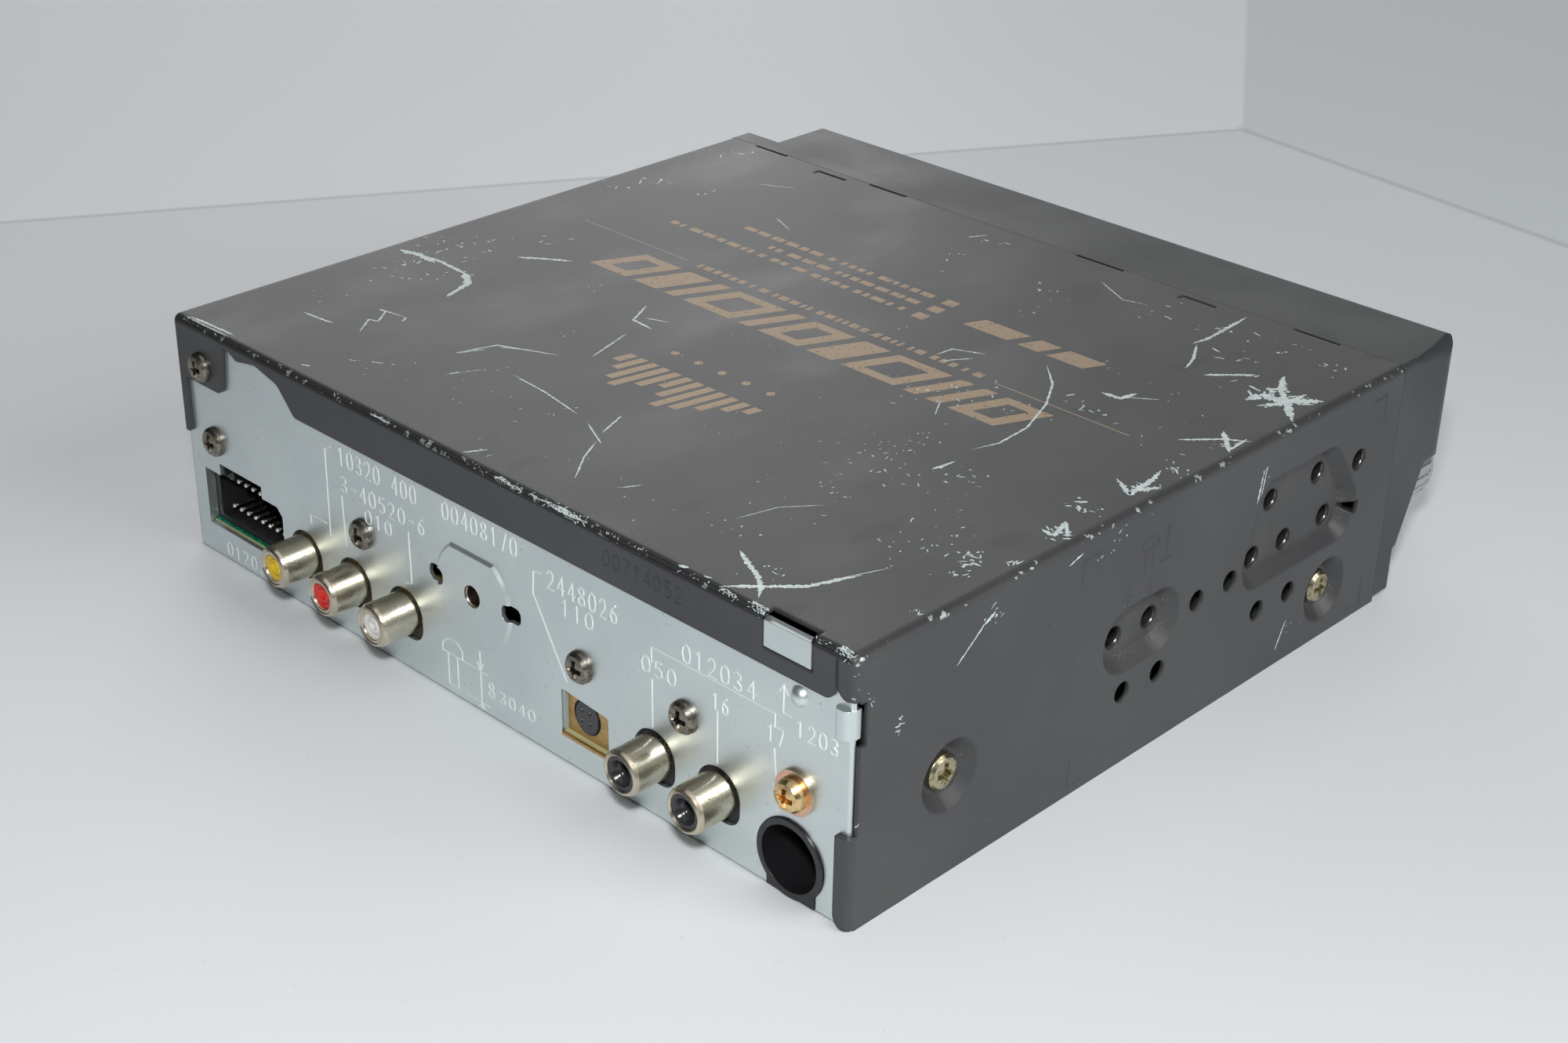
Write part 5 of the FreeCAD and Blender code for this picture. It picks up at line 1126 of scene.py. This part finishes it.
# Signs on the keys: the usual marks, printed in pale ink on each key's face.
caps = moulded("button_black", (0.028, 0.028, 0.03), 0.34, 0.2, 0.3)
pale_ink = Finish("pale_ink", Roughness=0.5)
pale_ink.set(Base_Color=pale_ink.mix(pale_ink.grain(0.4, 2), (0.62, 0.63, 0.62), (0.72, 0.73, 0.72)))
signs = {
    "previous": [[(-1.6, 0), (0, -1.2), (0, 1.2)], [(0, 0), (1.6, -1.2), (1.6, 1.2)]],
    "play": [[(-1.0, -1.4), (1.4, 0), (-1.0, 1.4)]],
    "next": [[(0, -1.2), (1.6, 0), (0, 1.2)], [(-1.6, -1.2), (0, 0), (-1.6, 1.2)]],
    "stop": [oblong(-1.1, 1.1, -1.1, 1.1)],
    "menu": [oblong(-1.4, 1.4, h, h + 0.4) for h in (-1.3, -0.2, 0.9)],
    "source": [oblong(-1.5, 0.2, -1.0, -0.5), [(0.2, -1.5), (1.5, -0.75), (0.2, 0.0)],
               [(1.5, 0.5), (-0.2, 0.5), (-0.2, 1.0), (1.5, 1.0)], [(-0.2, 0.0), (-1.5, 0.75), (-0.2, 1.5)]],
    "eject": [[(-1.3, -0.1), (1.3, -0.1), (0, 1.3)], oblong(-1.3, 1.3, -1.0, -0.55)],
    "power": [disc(0, 0, 1.25, 1.25, 12)],
}
for name, patches in signs.items():
    button = name + "_button"
    dress(caps, button)
    low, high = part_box(button)
    middle = (low + high) / 2

    def on_cap(u, v, h):
        return Vector((middle.x + u * 0.001, low.y - h * 0.001, middle.z + v * 0.001))

    sign = Marks(on_cap, 0.01)
    for corners in patches:
        sign.patch(corners)
    add_piece(name + "_sign", sign.points, sign.faces, pale_ink, body=button)

# Felt at the slot. Two strips of black pile that keep dust out and wipe the disc's faces.
felt = Finish("black_felt", Roughness=0.95, Sheen_Weight=0.6, Sheen_Roughness=0.4)
felt.set(Base_Color=felt.mix(felt.grain(0.3, 3), (0.012, 0.012, 0.013), (0.04, 0.04, 0.042)))
felt.relief(felt.grain(0.12, 2), 0.05)
low, high = [corner * 1000 + Vector((0, half_deep, 0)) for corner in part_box("slot_felts")]
middle_y = (low.y + high.y) / 2
disc_z = 42.3
points, faces = [], []
for root, tip in ((high.z, disc_z + 0.2), (low.z, disc_z - 0.2)):
    start = len(points)
    count = 240
    for k in range(count + 1):
        u = low.x + (high.x - low.x) * k / count
        fray = dice.uniform(-0.05, 0.12) * (1 if tip > disc_z else -1)
        ring = [
            (low.y, root), (high.y, root), (high.y - 0.1, tip + fray), (middle_y, tip + fray * 0.3),
            (low.y + 0.1, tip + fray),
        ]
        points += [on_case(u, v, w) for v, w in ring]
    faces += weave(count + 1, 5, start, closed=True)
    faces += [list(range(start, start + 5)), list(range(len(points) - 5, len(points)))]
pile = add_piece("slot_felt_pile", points, faces, felt, smooth=True)
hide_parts("slot_felts")

# Disc mechanism. Ground steel rods and shafts, nylon gears and guides, soft grey rubber rollers
# and dampers, and plated motor cans on the deck.
steel = plated("ground_steel", (0.68, 0.68, 0.67), (0.58, 0.57, 0.55), 0.20)
dress(steel, "deck_pins", "lead_screw", "roller_shaft", "encoder_shaft")
dress(steel, "spindle_motor", "feed_motor", "load_motor")
dress(moulded("nylon", (0.74, 0.73, 0.68), 0.42), "idler_gear", "load_pinion", "disc_guide", "clamper")
dress(moulded("grey_rubber", (0.10, 0.10, 0.105), 0.75, 0.4), "rubber_rollers", "deck_dampers")
dress(moulded("turntable_black", (0.035, 0.035, 0.038), 0.45), "turntable", "pickup_sled")

low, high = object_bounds()
